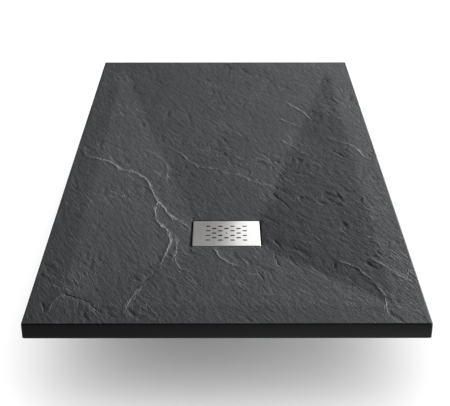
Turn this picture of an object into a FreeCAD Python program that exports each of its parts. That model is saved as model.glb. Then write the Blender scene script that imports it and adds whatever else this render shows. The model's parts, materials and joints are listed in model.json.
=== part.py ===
import FreeCAD, Part
import math
import os

import Sketcher
from FreeCAD import Placement, Rotation, Vector

# A rectangular shower tray of cast stone resin with its square floor drain and its trap.
# Frame: origin at the middle of the tray's underside, +X to the right, +Y to the back
# (the long way of the tray), +Z up. Millimetres.

doc = FreeCAD.newDocument("shower_tray")


# ---------------------------------------------------------------- driving sizes

SIZES = [
    # the slab
    ("tray_width", 800, "side to side"),
    ("tray_length", 1600, "front to back"),
    ("tray_thickness", 35, "underside to rim"),
    ("rim_width", 66.7, "level border round the sloping floor"),
    ("floor_fall", 10, "drop from the rim to the drain"),
    ("drain_setback", 395, "drain centre from the front edge"),
    ("tray_corner", 4, "radius of the slab's upright corners"),
    ("rim_edge", 2.5, "radius round the top edge"),
    ("foot_edge", 2, "chamfer round the underside"),
    ("recess_depth", 12, "grate recess below the low end of the floor"),
    ("waste_bore", 90, "round hole for the waste, diameter"),
    ("pocket_depth", 3, "shallow pocket in the underside for the trap's flange"),
    ("pocket_margin", 9, "pocket beyond the trap's flange, radial"),
    # the drain cover
    ("sheet", 1.5, "stainless sheet of the cover"),
    ("skirt_drop", 7.5, "height of the cover's folded edge"),
    ("fold_radius", 2, "outside radius of the fold"),
    ("cover_corner", 3.5, "upright corner radius of the cover"),
    ("cover_gap", 2, "gap between the cover and its recess"),
    ("flange_side_gap", 3, "waste flange to the cover's skirt, front and back"),
    ("stud_bay", 18.5, "room for the studs beside the waste flange"),
    ("stud_inset", 12, "stud from the cover's front and back edges"),
    ("stud_diameter", 4, "welded stud that carries a foot"),
    ("stud_length", 6, "stud below the sheet"),
    ("pad_diameter", 10, "rubber foot"),
    ("pad_edge", 0.8, "chamfer under the rubber foot"),
    ("slot_length", 10.6, "drain slot, end to end"),
    ("slot_width", 5.4, "drain slot"),
    ("slot_pitch_across", 14, "slot columns, side to side"),
    ("slot_pitch_along", 11.3, "slot rows, front to back"),
    ("key_hole", 4, "lifting hole in the middle of the cover"),
    # the waste flange and what clamps it
    ("flange_seat", 12, "flange beyond the bore, radial"),
    ("flange_thickness", 3, "top flange plate"),
    ("flange_edge", 1, "bevels of the top flange"),
    ("gasket_thickness", 2, "both flat gaskets"),
    ("gasket_inset", 1, "gasket back from the flange's edge and the bore"),
    ("neck_clearance", 1, "trap neck inside the bore, radial"),
    ("neck_gap", 2.5, "neck below the flange, taken up by the screws"),
    ("screw_inset", 7, "screw circle in from the neck's outside"),
    ("screw_diameter", 5, "clamp screw"),
    ("screw_head", 9.2, "countersunk head"),
    ("screw_length", 14, "screw from the top of the flange"),
    ("screw_tip", 1, "chamfer of the screw's end"),
    ("screw_clearance", 0.3, "screw hole in the flange, radial"),
    ("key_size", 3, "hexagon socket, across flats"),
    ("insert_wall", 1.2, "brass insert wall"),
    ("insert_length", 9, "brass insert"),
    ("boss_diameter", 10, "boss round each insert"),
    # the trap
    ("trap_wall", 3, "trap moulding"),
    ("trap_edge", 4, "chamfer round the trap's base"),
    ("trap_flange_thickness", 4, "flange under the tray"),
    ("gusset_reach", 10, "stiffening ribs below the trap's flange"),
    ("gusset_thickness", 2.4, "stiffening ribs below the trap's flange"),
    ("gusset_lap", 1, "stiffening ribs into the wall, and their square end"),
    ("seat_inset", 7, "insert socket in from the screw circle"),
    ("seat_wall", 2.5, "wall of the insert socket"),
    ("seat_depth", 14, "insert socket below the neck's top"),
    ("lead_in", 1, "wider mouth of the insert socket, radial"),
    ("lip_width", 3, "shelf that the insert stands on"),
    ("tray_to_nut", 14, "nuts below the tray's underside"),
    ("nut_to_base", 9, "trap's base below the nuts"),
    # the lift-out insert
    ("insert_play", 0.2, "insert in its socket, radial"),
    ("cup_play", 0.5, "cup inside the shelf, radial"),
    ("thin_wall", 1.5, "insert mouldings"),
    ("seal_way", 8, "water way between dip tube and cup"),
    ("collar_height", 9.5, "collar of the dip tube"),
    ("seal_section", 2.8, "round seal, and its groove's height"),
    ("seal_slack", 0.05, "round seal inside its groove and its socket, unsqueezed"),
    ("rib_play", 0.02, "dip tube's ribs inside the cup, radial"),
    ("cup_floor_gap", 3, "cup above the trap's floor"),
    ("weir_drop", 8, "cup rim below the shelf, where water runs over"),
    ("cup_edge", 2, "chamfer round the cup's base"),
    ("tube_gap", 10, "dip tube above the cup's floor"),
    ("cup_rib_start", 4, "cup ribs above the dip tube's end"),
    ("cup_rib_stop", 2.5, "height of the ribs' shoulder on the cup's rim"),
    ("bar_width", 3, "lifting bar"),
    ("bar_height", 4, "lifting bar"),
    ("bar_play", 0.3, "lifting bar below the strainer's rivet"),
    ("strainer_sheet", 1, "strainer"),
    ("strainer_drop", 5.5, "depth of the strainer's dish"),
    ("strainer_hole", 3.4, "strainer hole"),
    ("strainer_play", 0.3, "strainer inside the dip tube's mouth, radial"),
    ("strainer_taper", 1.5, "strainer's wall leans in by this"),
    ("strainer_rim", 1.8, "strainer's rim on the dip tube's collar"),
    ("knob_diameter", 10.4, "strainer's knob"),
    ("knob_height", 8, "knob above the strainer"),
    ("knob_edge", 1, "bevels, waist and rivet head of the knob"),
    # the outlet
    ("pipe_diameter", 40, "waste pipe that the outlet takes"),
    ("pipe_clearance", 0.3, "socket round the pipe, radial"),
    ("socket_wall", 3.2, "wall of the threaded ends"),
    ("pipe_step", 2.5, "water way inside the pipe's outside, radial"),
    ("socket_depth", 26, "pipe into its socket"),
    ("spigot_length", 22, "trap's threaded spigot"),
    ("bend_radius", 26, "elbow's centre line"),
    ("elbow_straight", 10, "elbow tube before its bend"),
    ("turning_play", 0.08, "elbow inside the union nut, radial"),
    ("end_play", 0.1, "elbow collar under the nut's lip"),
    ("collar_thickness", 3, "elbow collar"),
    ("washer_thickness", 1.5, "slip washer"),
    ("washer_play", 0.2, "washer and pipe seal inside the nut, radial"),
    ("seal_length", 4, "tapered pipe seal"),
    ("seal_taper", 1.5, "tapered end of the pipe seal"),
    ("seal_play", 0.15, "pipe seal round the pipe before it is squeezed, radial"),
    ("union_seal_thickness", 2, "flat seal at the trap's spigot"),
    ("nut_wall", 4, "ring nuts"),
    ("nut_edge", 1, "bevels of the ring nuts"),
    ("nut_rib", 1.5, "height of the ring nuts' grip ribs"),
    ("nut_rib_width", 3, "grip ribs of the ring nuts"),
    ("nut_hole_play", 0.5, "pipe nut round the pipe, radial"),
    ("nut_lip", 3, "inward lip of the ring nuts"),
    ("nut_reach", 13, "ring nut over its thread"),
]

SCREWS = 4
GUSSETS = 8
NUT_RIBS = 12
CUP_RIBS = 4

# cuts run this far past the face that they open
OVERRUN = 1
# two places closer than this are the same place
SAME = 1e-3

dims = doc.addObject("Spreadsheet::Sheet", "dims")
for row, (alias, value, meaning) in enumerate(SIZES, start=1):
    dims.set(f"A{row}", alias)
    dims.set(f"B{row}", str(value))
    dims.setAlias(f"B{row}", alias)
    dims.set(f"C{row}", meaning)
doc.recompute()


# ---------------------------------------------------------------- worked-out sizes

# Each is a formula of the sheet's sizes and of the ones above it.
WORKED = [
    ("drain_y", "dims.drain_setback - dims.tray_length / 2"),
    ("drain_level", "dims.tray_thickness - dims.floor_fall"),
    ("recess_floor", "worked.drain_level - dims.recess_depth"),
    ("bore_radius", "dims.waste_bore / 2"),
    ("flange_radius", "worked.bore_radius + dims.flange_seat"),
    # the cover and its recess follow the flange that they hide
    ("cover_depth", "2 * (worked.flange_radius + dims.flange_side_gap + dims.sheet)"),
    ("cover_width", "2 * (worked.flange_radius + dims.stud_bay + dims.sheet)"),
    ("recess_width", "worked.cover_width + 2 * dims.cover_gap"),
    ("recess_length", "worked.cover_depth + 2 * dims.cover_gap"),
    ("cover_bottom", "worked.drain_level - dims.skirt_drop"),
    ("sheet_bottom", "worked.drain_level - dims.sheet"),
    ("stud_x", "worked.cover_width / 2 - dims.sheet - dims.stud_bay / 2"),
    ("stud_y", "worked.cover_depth / 2 - dims.stud_inset"),
    ("flange_bottom", "worked.recess_floor + dims.gasket_thickness"),
    ("flange_top", "worked.flange_bottom + dims.flange_thickness"),
    # the trap's neck and flange
    ("neck_radius", "worked.bore_radius - dims.neck_clearance"),
    ("neck_top", "worked.flange_bottom - dims.neck_gap"),
    ("trap_flange_top", "dims.pocket_depth - dims.gasket_thickness"),
    ("trap_flange_bottom", "worked.trap_flange_top - dims.trap_flange_thickness"),
    ("pocket_radius", "worked.flange_radius + dims.pocket_margin"),
    ("screw_circle", "worked.neck_radius - dims.screw_inset"),
    ("seat_radius", "worked.screw_circle - dims.seat_inset"),
    ("lip_radius", "worked.seat_radius - dims.lip_width"),
    ("socket_outside", "worked.seat_radius + dims.seat_wall"),
    ("shelf", "worked.neck_top - dims.seat_depth"),
    ("shelf_bottom", "worked.shelf - dims.seat_wall"),
    ("bowl_radius", "worked.neck_radius - dims.trap_wall"),
    # the outlet's round parts
    ("socket_radius", "dims.pipe_diameter / 2 + dims.pipe_clearance"),
    ("thread_radius", "worked.socket_radius + dims.socket_wall"),
    ("way_radius", "dims.pipe_diameter / 2 - dims.pipe_step"),
    ("tube_radius", "worked.way_radius + dims.trap_wall"),
    ("nut_radius", "worked.thread_radius + dims.nut_wall + dims.nut_rib"),
    ("outlet_level", "-dims.tray_to_nut - worked.nut_radius"),
    ("spigot_end", "worked.neck_radius + dims.spigot_length"),
    ("collar_start", "worked.spigot_end + dims.union_seal_thickness"),
    ("bend_start", "worked.collar_start + dims.collar_thickness + dims.elbow_straight"),
    ("socket_end", "dims.bend_radius + dims.trap_wall + dims.socket_depth"),
    ("trap_bottom", "worked.outlet_level - worked.nut_radius - dims.nut_to_base"),
    ("trap_floor", "worked.trap_bottom + dims.trap_wall"),
    # the lift-out insert
    ("insert_radius", "worked.seat_radius - dims.insert_play"),
    ("cup_radius", "worked.lip_radius - dims.cup_play"),
    ("cup_inside", "worked.cup_radius - dims.thin_wall"),
    ("tube_outside", "worked.cup_inside - dims.seal_way"),
    ("tube_inside", "worked.tube_outside - dims.thin_wall"),
    ("cup_bottom", "worked.trap_floor + dims.cup_floor_gap"),
    ("cup_floor", "worked.cup_bottom + dims.thin_wall"),
    ("weir", "worked.shelf_bottom - dims.weir_drop"),
    ("tube_end", "worked.cup_floor + dims.tube_gap"),
    ("collar_top", "worked.shelf + dims.collar_height"),
    ("groove_floor", "worked.seat_radius - dims.seal_section - dims.insert_play / 2"),
    ("funnel_radius", "worked.groove_floor - dims.thin_wall"),
]

worked = doc.addObject("App::VarSet", "worked")
for name, formula in WORKED:
    worked.addProperty("App::PropertyFloat", name, "worked_out")
    worked.setExpression(name, formula.replace("worked.", ""))
doc.recompute()


def number(formula):
    """Value of a formula, such as "dims.sheet + worked.neck_top"."""
    return float(dims.evalExpression(str(formula)))


# ---------------------------------------------------------------- sketching helpers

subparts = []


def new_body(label, along_y="worked.drain_y", several=False):
    """A named sub-part whose own origin stands along_y from the tray's origin."""
    body = doc.addObject("PartDesign::Body", label)
    body.Label = label
    body.AllowCompound = several
    body.setExpression(".Placement.Base.y", along_y)
    subparts.append(body)
    return body


def origin_part(body, role):
    return next(o for o in body.Origin.OriginFeatures if o.Role == role)


def new_sketch(body, name, role="XY_Plane", level="0"):
    """A sketch on one of the body's own origin planes, lifted along its normal by level."""
    sketch = body.newObject("Sketcher::SketchObject", name)
    sketch.AttachmentSupport = (origin_part(body, role), [""])
    sketch.MapMode = "FlatFace"
    sketch.setExpression(".AttachmentOffset.Base.z", str(level))
    return sketch


def pin_point(sketch, geometry, point, across, up):
    """Hold one point of the sketch at two formulas."""
    for kind, axis, formula in (("DistanceX", -2, across), ("DistanceY", -1, up)):
        if formula == "0":
            sketch.addConstraint(Sketcher.Constraint("PointOnObject", geometry, point, axis))
            continue
        held = Sketcher.Constraint(kind, -1, 1, geometry, point, number(formula))
        index = sketch.addConstraint(held)
        sketch.setExpression(f"Constraints[{index}]", formula)


def outline(sketch, corners):
    """A closed outline of straight edges, whose corners are pairs of formulas."""
    points = [Vector(number(across), number(up), 0) for across, up in corners]
    first = sketch.GeometryCount
    count = len(points)
    for i, start in enumerate(points):
        sketch.addGeometry(Part.LineSegment(start, points[(i + 1) % count]))
    for i in range(count):
        following = first + (i + 1) % count
        sketch.addConstraint(Sketcher.Constraint("Coincident", first + i, 2, following, 1))
    for i, (across, up) in enumerate(corners):
        pin_point(sketch, first + i, 1, across, up)


def rectangle(sketch, width, height, across="0", up="0"):
    """A rectangle of formulas about its own centre."""
    left, right = f"({across}) - ({width}) / 2", f"({across}) + ({width}) / 2"
    low, high = f"({up}) - ({height}) / 2", f"({up}) + ({height}) / 2"
    outline(sketch, [(left, low), (right, low), (right, high), (left, high)])


def round_rectangle(sketch, width, height, radius, up="0"):
    """A rectangle with round corners, centred across the sketch and at up."""
    x, y, r = number(width) / 2, number(height) / 2, number(radius)
    middle = number(up)
    quarter = math.pi / 2
    arcs, sides = [], []
    for turn_number, (right, above) in enumerate(((1, 1), (-1, 1), (-1, -1), (1, -1))):
        centre = Vector(right * (x - r), middle + above * (y - r), 0)
        start = turn_number * quarter
        ring = Part.Circle(centre, Vector(0, 0, 1), r)
        arcs.append(sketch.addGeometry(Part.ArcOfCircle(ring, start, start + quarter)))
    for i, arc in enumerate(arcs):
        start = sketch.getPoint(arc, 2)
        end = sketch.getPoint(arcs[(i + 1) % 4], 1)
        sides.append(sketch.addGeometry(Part.LineSegment(start, end)))
    for i, (arc, side) in enumerate(zip(arcs, sides)):
        sketch.addConstraint(Sketcher.Constraint("Tangent", arc, 2, side, 1))
        sketch.addConstraint(Sketcher.Constraint("Tangent", side, 2, arcs[(i + 1) % 4], 1))
    for arc in arcs[1:]:
        sketch.addConstraint(Sketcher.Constraint("Equal", arcs[0], arc))
    size = sketch.addConstraint(Sketcher.Constraint("Radius", arcs[0], r))
    sketch.setExpression(f"Constraints[{size}]", radius)
    reach, rise = f"(({width}) / 2 - ({radius}))", f"(({height}) / 2 - ({radius}))"
    for arc, right, above in zip(arcs, "+--+", "++--"):
        pin_point(sketch, arc, 3, f"0 {right} {reach}", f"{up} {above} {rise}")


def circle(sketch, radius, across="0", up="0"):
    centre = Vector(number(across), number(up), 0)
    shape = Part.Circle(centre, Vector(0, 0, 1), number(radius))
    index = sketch.addGeometry(shape)
    pin_point(sketch, index, 3, across, up)
    size = sketch.addConstraint(Sketcher.Constraint("Radius", index, number(radius)))
    sketch.setExpression(f"Constraints[{size}]", radius)


def round_slot(sketch, length, width, across, up):
    """A slot with round ends, lying along the sketch's first axis."""
    x, y, r = number(across), number(up), number(width) / 2
    half = number(length) / 2 - r
    normal = Vector(0, 0, 1)
    right_end = Part.Circle(Vector(x + half, y, 0), normal, r)
    left_end = Part.Circle(Vector(x - half, y, 0), normal, r)
    quarter = math.pi / 2
    right = sketch.addGeometry(Part.ArcOfCircle(right_end, -quarter, quarter))
    upper = sketch.addGeometry(Part.LineSegment(Vector(x + half, y + r, 0), Vector(x - half, y + r, 0)))
    left = sketch.addGeometry(Part.ArcOfCircle(left_end, quarter, 3 * quarter))
    lower = sketch.addGeometry(Part.LineSegment(Vector(x - half, y - r, 0), Vector(x + half, y - r, 0)))
    for one, two in ((right, upper), (upper, left), (left, lower), (lower, right)):
        sketch.addConstraint(Sketcher.Constraint("Tangent", one, 2, two, 1))
    sketch.addConstraint(Sketcher.Constraint("Equal", right, left))
    size = sketch.addConstraint(Sketcher.Constraint("Radius", right, r))
    sketch.setExpression(f"Constraints[{size}]", f"({width}) / 2")
    reach = f"(({length}) - ({width})) / 2"
    pin_point(sketch, right, 3, f"({across}) + {reach}", up)
    pin_point(sketch, left, 3, f"({across}) - {reach}", up)


# ---------------------------------------------------------------- feature helpers


def pad(body, name, sketch, length, down=False):
    feature = body.newObject("PartDesign::Pad", name)
    feature.Profile = sketch
    feature.setExpression("Length", length)
    feature.Reversed = down
    return feature


def rib(body, name, sketch, thickness):
    """A pad that lies half on each side of its sketch."""
    feature = pad(body, name, sketch, thickness)
    feature.SideType = "Symmetric"
    return feature


def volume_after(body):
    doc.recompute()
    return body.Shape.Volume


def cut(body, name, kind, sketch, prepare):
    """A feature that takes material away; stops if it takes none."""
    before = volume_after(body)
    feature = body.newObject(kind, name)
    feature.Profile = sketch
    prepare(feature)
    if not volume_after(body) < before - SAME:
        raise RuntimeError(f"{name} cuts nothing")
    return feature


def pocket(body, name, sketch, depth, up=False):
    """A cut that goes down from its sketch, or up."""

    def prepare(feature):
        feature.setExpression("Length", depth)
        feature.Reversed = up

    return cut(body, name, "PartDesign::Pocket", sketch, prepare)


def hollow(body, name, sketch):
    """A round cut about the body's upright axis."""

    def prepare(feature):
        feature.ReferenceAxis = (sketch, ["V_Axis"])
        feature.Angle = 360

    return cut(body, name, "PartDesign::Groove", sketch, prepare)


def turn(body, name, sketch, axis="V_Axis", angle=360):
    feature = body.newObject("PartDesign::Revolution", name)
    feature.Profile = sketch
    feature.ReferenceAxis = (sketch, [axis])
    feature.Angle = angle
    return feature


def around(body, name, originals, count):
    """Repeat features evenly about the body's upright axis."""
    doc.recompute()
    pattern = body.newObject("PartDesign::PolarPattern", name)
    pattern.Originals = originals
    pattern.Axis = (origin_part(body, "Z_Axis"), [""])
    pattern.Angle = 360
    pattern.Occurrences = count
    body.Tip = pattern
    return pattern


def grid(body, name, originals, across, along):
    """Repeat features in rows; across and along are each a spacing and a count."""
    doc.recompute()
    pattern = body.newObject("PartDesign::LinearPattern", name)
    pattern.Originals = originals
    pattern.Direction = (origin_part(body, "X_Axis"), [""])
    pattern.Mode = "Spacing"
    pattern.setExpression("Offset", across[0])
    pattern.Occurrences = across[1]
    pattern.Direction2 = (origin_part(body, "Y_Axis"), [""])
    pattern.Mode2 = "Extent"
    pattern.setExpression("Length2", f"({along[0]}) * {along[1] - 1}")
    pattern.Occurrences2 = along[1]
    body.Tip = pattern
    return pattern


def dress(body, name, kind, size_name, size, chosen):
    """Fillet or chamfer every edge of the body for which chosen(edge) is true."""
    doc.recompute()
    base = body.Tip
    names = [f"Edge{i}" for i, edge in enumerate(base.Shape.Edges, start=1) if chosen(edge)]
    feature = body.newObject(kind, name)
    feature.Base = (base, names)
    feature.setExpression(size_name, size)
    return feature


def fillet(body, name, radius, chosen):
    return dress(body, name, "PartDesign::Fillet", "Radius", radius, chosen)


def chamfer(body, name, size, chosen):
    return dress(body, name, "PartDesign::Chamfer", "Size", size, chosen)


def upright(edge):
    """A straight edge that runs along Z."""
    box = edge.BoundBox
    return box.ZLength > SAME and box.XLength < SAME and box.YLength < SAME


def level_edge(edge, level):
    box = edge.BoundBox
    return abs(box.ZMin - level) < SAME and abs(box.ZMax - level) < SAME


def lathe(label, section):
    """A sub-part turned about the drain's upright axis from one closed section."""
    body = new_body(label)
    sketch = new_sketch(body, label + "_section", "XZ_Plane")
    outline(sketch, section)
    turn(body, label + "_turned", sketch)
    return body


# ---------------------------------------------------------------- tray


def make_tray():
    body = new_body("tray_body", along_y="0")
    slab = new_sketch(body, "slab_outline")
    rectangle(slab, "dims.tray_width", "dims.tray_length")
    pad(body, "slab", slab, "dims.tray_thickness")
    fillet(body, "slab_corners", "dims.tray_corner", upright)

    # four plane slopes, from the inside of the rim down to the recess
    rim = new_sketch(body, "rim_outline", level="dims.tray_thickness")
    rectangle(rim, "dims.tray_width - 2 * dims.rim_width", "dims.tray_length - 2 * dims.rim_width")
    low_end = new_sketch(body, "low_end_outline", level="worked.drain_level")
    rectangle(low_end, "worked.recess_width", "worked.recess_length", up="worked.drain_y")

    def slopes(feature):
        feature.Sections = [low_end]
        feature.Ruled = True

    cut(body, "sloping_floor", "PartDesign::SubtractiveLoft", rim, slopes)

    # recess for the drain cover
    recess = new_sketch(body, "recess_outline", level="worked.drain_level")
    round_rectangle(recess, "worked.recess_width", "worked.recess_length",
                    "dims.cover_corner + dims.cover_gap", up="worked.drain_y")
    pocket(body, "recess", recess, "dims.recess_depth")

    # round hole for the waste, and the pocket under it for the trap's flange
    bore = new_sketch(body, "waste_bore_outline", level="worked.recess_floor")
    circle(bore, "worked.bore_radius", up="worked.drain_y")
    pocket(body, "waste_hole", bore, "worked.recess_floor")
    under = new_sketch(body, "flange_pocket_outline")
    circle(under, "worked.pocket_radius", up="worked.drain_y")
    pocket(body, "flange_pocket", under, "dims.pocket_depth", up=True)

    doc.recompute()
    half_width = number("dims.tray_width") / 2
    half_length = number("dims.tray_length") / 2
    inset = number("dims.tray_corner") + SAME

    def outermost(edge):
        centre = edge.CenterOfMass
        return abs(centre.x) > half_width - inset or abs(centre.y) > half_length - inset

    top = number("dims.tray_thickness")
    fillet(body, "rim_edge", "dims.rim_edge", lambda e: level_edge(e, top) and outermost(e))
    chamfer(body, "foot_edge", "dims.foot_edge", lambda e: level_edge(e, 0) and outermost(e))
    return body


# ---------------------------------------------------------------- drain cover


def make_cover():
    body = new_body("drain_cover")
    width, depth = "worked.cover_width", "worked.cover_depth"
    plate = new_sketch(body, "cover_outline", level="worked.cover_bottom")
    round_rectangle(plate, width, depth, "dims.cover_corner")
    pad(body, "cover_block", plate, "dims.skirt_drop")
    top = number("worked.drain_level")
    fillet(body, "cover_fold", "dims.fold_radius", lambda e: level_edge(e, top))

    inside = new_sketch(body, "cover_inside_outline", level="worked.cover_bottom")
    round_rectangle(inside, f"{width} - 2 * dims.sheet", f"{depth} - 2 * dims.sheet",
                    "dims.cover_corner - dims.sheet")
    pocket(body, "cover_inside", inside, "dims.skirt_drop - dims.sheet", up=True)

    stud = new_sketch(body, "stud_outline", level="worked.sheet_bottom")
    circle(stud, "dims.stud_diameter / 2", across="-worked.stud_x", up="-worked.stud_y")
    studs = pad(body, "stud", stud, "dims.stud_length", down=True)
    grid(body, "studs", [studs], ("2 * worked.stud_x", 2), ("2 * worked.stud_y", 2))

    # staggered slots: a 4 by 4 set, and between its columns rows of 3, the middle one open
    across, along = "dims.slot_pitch_across", "dims.slot_pitch_along"
    sets = [
        ("corner", -3, -3, (f"2 * {across}", 4), (f"2 * {along}", 4)),
        ("between", -2, -2, (f"4 * {across}", 2), (f"2 * {along}", 3)),
        ("middle", 0, -2, (across, 1), (f"4 * {along}", 2)),
    ]
    for name, column, line, step_across, step_along in sets:
        sketch = new_sketch(body, f"{name}_slot_outline", level="worked.drain_level")
        place = (f"{column} * {across}", f"{line} * {along}") if column else ("0", f"{line} * {along}")
        round_slot(sketch, "dims.slot_length", "dims.slot_width", *place)
        first = pocket(body, f"{name}_slot", sketch, "2 * dims.sheet")
        grid(body, f"{name}_slots", [first], step_across, step_along)
    hole = new_sketch(body, "key_hole_outline", level="worked.drain_level")
    circle(hole, "dims.key_hole / 2")
    pocket(body, "key_hole", hole, "2 * dims.sheet")
    return body


def make_cover_feet():
    """Rubber feet pushed over the cover's studs, standing on the recess floor."""
    corners = [(-1, -1), (1, -1), (1, 1), (-1, 1)]
    for i, (side, end) in enumerate(corners, start=1):
        body = new_body(f"cover_foot_{i}")
        name = f"foot_{i}"
        place = (f"{side} * worked.stud_x", f"{end} * worked.stud_y")
        sketch = new_sketch(body, name + "_outline", level="worked.recess_floor")
        circle(sketch, "dims.pad_diameter / 2", *place)
        pad(body, name, sketch, "worked.sheet_bottom - worked.recess_floor")
        bore = new_sketch(body, name + "_bore_outline", level="worked.sheet_bottom")
        circle(bore, "dims.stud_diameter / 2", *place)
        pocket(body, name + "_bore", bore, "dims.stud_length")
        low = number("worked.recess_floor")
        chamfer(body, name + "_edge", "dims.pad_edge", lambda e: level_edge(e, low))


# ---------------------------------------------------------------- waste flange and clamp


def make_waste_flange():
    low, high = "worked.flange_bottom", "worked.flange_top"
    opening = "worked.seat_radius + dims.insert_play"
    edge = "dims.flange_edge"
    body = lathe("waste_flange", [
        (opening, low),
        ("worked.flange_radius", low),
        ("worked.flange_radius", f"{high} - {edge}"),
        (f"worked.flange_radius - 2 * {edge}", high),
        (f"{opening} + {edge}", high),
        (opening, f"{high} - {edge}"),
    ])
    # countersunk screw holes
    hole = new_sketch(body, "screw_hole_outline", level=high)
    circle(hole, "dims.screw_diameter / 2 + dims.screw_clearance", across="worked.screw_circle")
    first = pocket(body, "screw_hole", hole, "dims.flange_thickness")
    doc.recompute()
    sink = new_sketch(body, "countersink_section", "XZ_Plane")
    screw = "worked.screw_circle"
    drop = "(dims.screw_head - dims.screw_diameter) / 2"
    outline(sink, [
        (screw, high),
        (f"{screw} + dims.screw_head / 2", high),
        (f"{screw} + dims.screw_diameter / 2", f"{high} - {drop}"),
        (screw, f"{high} - {drop}"),
    ])

    def about_screw(feature):
        feature.ReferenceAxis = (sink, ["Axis0"])
        feature.Angle = 360

    axis_line(sink, screw, high)
    second = cut(body, "countersink", "PartDesign::Groove", sink, about_screw)
    around(body, "screw_holes", [first, second], SCREWS)
    return body


def axis_line(sketch, across, up):
    """An upright construction line, which the sketch offers as its Axis0."""
    x, y = number(across), number(up)
    drop = 10
    index = sketch.addGeometry(Part.LineSegment(Vector(x, y, 0), Vector(x, y - drop, 0)), True)
    pin_point(sketch, index, 1, across, up)
    pin_point(sketch, index, 2, across, f"{up} - {drop}")


def make_gaskets():
    inner, outer = "worked.bore_radius + dims.gasket_inset", "worked.flange_radius - dims.gasket_inset"
    for label, low in (("flange_gasket", "worked.recess_floor"), ("trap_gasket", "worked.trap_flange_top")):
        high = f"{low} + dims.gasket_thickness"
        lathe(label, [(inner, low), (outer, low), (outer, high), (inner, high)])


def make_clamp_screws():
    """Countersunk screws with hexagon sockets, one node for the set."""
    body = new_body("clamp_screws", several=True)
    top = "worked.flange_top"
    screw = "worked.screw_circle"
    shank = "dims.screw_diameter / 2"
    section = new_sketch(body, "screw_section", "XZ_Plane")
    outline(section, [
        (screw, top),
        (f"{screw} + dims.screw_head / 2", top),
        (f"{screw} + {shank}", f"{top} - (dims.screw_head / 2 - {shank})"),
        (f"{screw} + {shank}", f"{top} - dims.screw_length + dims.screw_tip"),
        (f"{screw} + {shank} - dims.screw_tip", f"{top} - dims.screw_length"),
        (screw, f"{top} - dims.screw_length"),
    ])
    axis_line(section, screw, top)
    one = turn(body, "screw", section, axis="Axis0")
    socket = new_sketch(body, "socket_outline", level=top)
    corner = "dims.key_size / sqrt(3)"
    outline(socket, [
        (f"{screw} + {corner} * {round(math.cos(math.radians(a)), 6)}",
         f"{corner} * {round(math.sin(math.radians(a)), 6)}")
        for a in range(30, 390, 60)
    ])
    two = pocket(body, "socket", socket, "dims.key_size / 2")
    around(body, "screw_set", [one, two], SCREWS)
    return body


def make_screw_inserts():
    """Brass inserts moulded into the trap's neck, one node for the set."""
    body = new_body("screw_inserts", several=True)
    sketch = new_sketch(body, "insert_outline", level="worked.neck_top")
    circle(sketch, "dims.screw_diameter / 2 + dims.insert_wall", across="worked.screw_circle")
    circle(sketch, "dims.screw_diameter / 2", across="worked.screw_circle")
    one = pad(body, "insert", sketch, "dims.insert_length", down=True)
    around(body, "insert_set", [one], SCREWS)
    return body


# ---------------------------------------------------------------- trap


def make_trap_neck():
    """Neck, web and flange of the trap, one moulding; the bowl is welded under its flange."""
    top, under = "worked.neck_top", "worked.trap_flange_bottom"
    web = f"{top} - dims.trap_wall"
    body = lathe("trap_neck", [
        ("worked.bowl_radius", under),
        ("worked.flange_radius", under),
        ("worked.flange_radius", "worked.trap_flange_top"),
        ("worked.neck_radius", "worked.trap_flange_top"),
        ("worked.neck_radius", top),
        ("worked.socket_outside", top),
        ("worked.socket_outside", web),
        ("worked.bowl_radius", web),
    ])
    boss = new_sketch(body, "boss_outline", level=top)
    circle(boss, "dims.boss_diameter / 2", across="worked.screw_circle")
    boss_pad = pad(body, "boss", boss, "dims.insert_length + dims.trap_wall", down=True)
    around(body, "bosses", [boss_pad], SCREWS)
    bore = new_sketch(body, "insert_bore_outline", level=top)
    circle(bore, "dims.screw_diameter / 2 + dims.insert_wall", across="worked.screw_circle")
    bore_cut = pocket(body, "insert_bore", bore, "dims.insert_length")
    around(body, "insert_bores", [bore_cut], SCREWS)
    # the insert socket's outside, also cut from the bosses
    seat = new_sketch(body, "socket_outline", level=top)
    circle(seat, "worked.socket_outside")
    pocket(body, "socket_hole", seat, f"dims.insert_length + dims.trap_wall + {OVERRUN}")
    return body


def make_insert_socket():
    """Sleeve and shelf that the lift-out insert stands in, pressed into the neck's web."""
    return lathe("insert_socket", [
        ("worked.lip_radius", "worked.shelf_bottom"),
        ("worked.socket_outside", "worked.shelf_bottom"),
        ("worked.socket_outside", "worked.neck_top"),
        ("worked.seat_radius + dims.lead_in", "worked.neck_top"),
        ("worked.seat_radius + dims.lead_in", "worked.collar_top"),
        ("worked.seat_radius", "worked.collar_top - 2 * dims.lead_in"),
        ("worked.seat_radius", "worked.shelf"),
        ("worked.lip_radius", "worked.shelf"),
    ])


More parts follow.
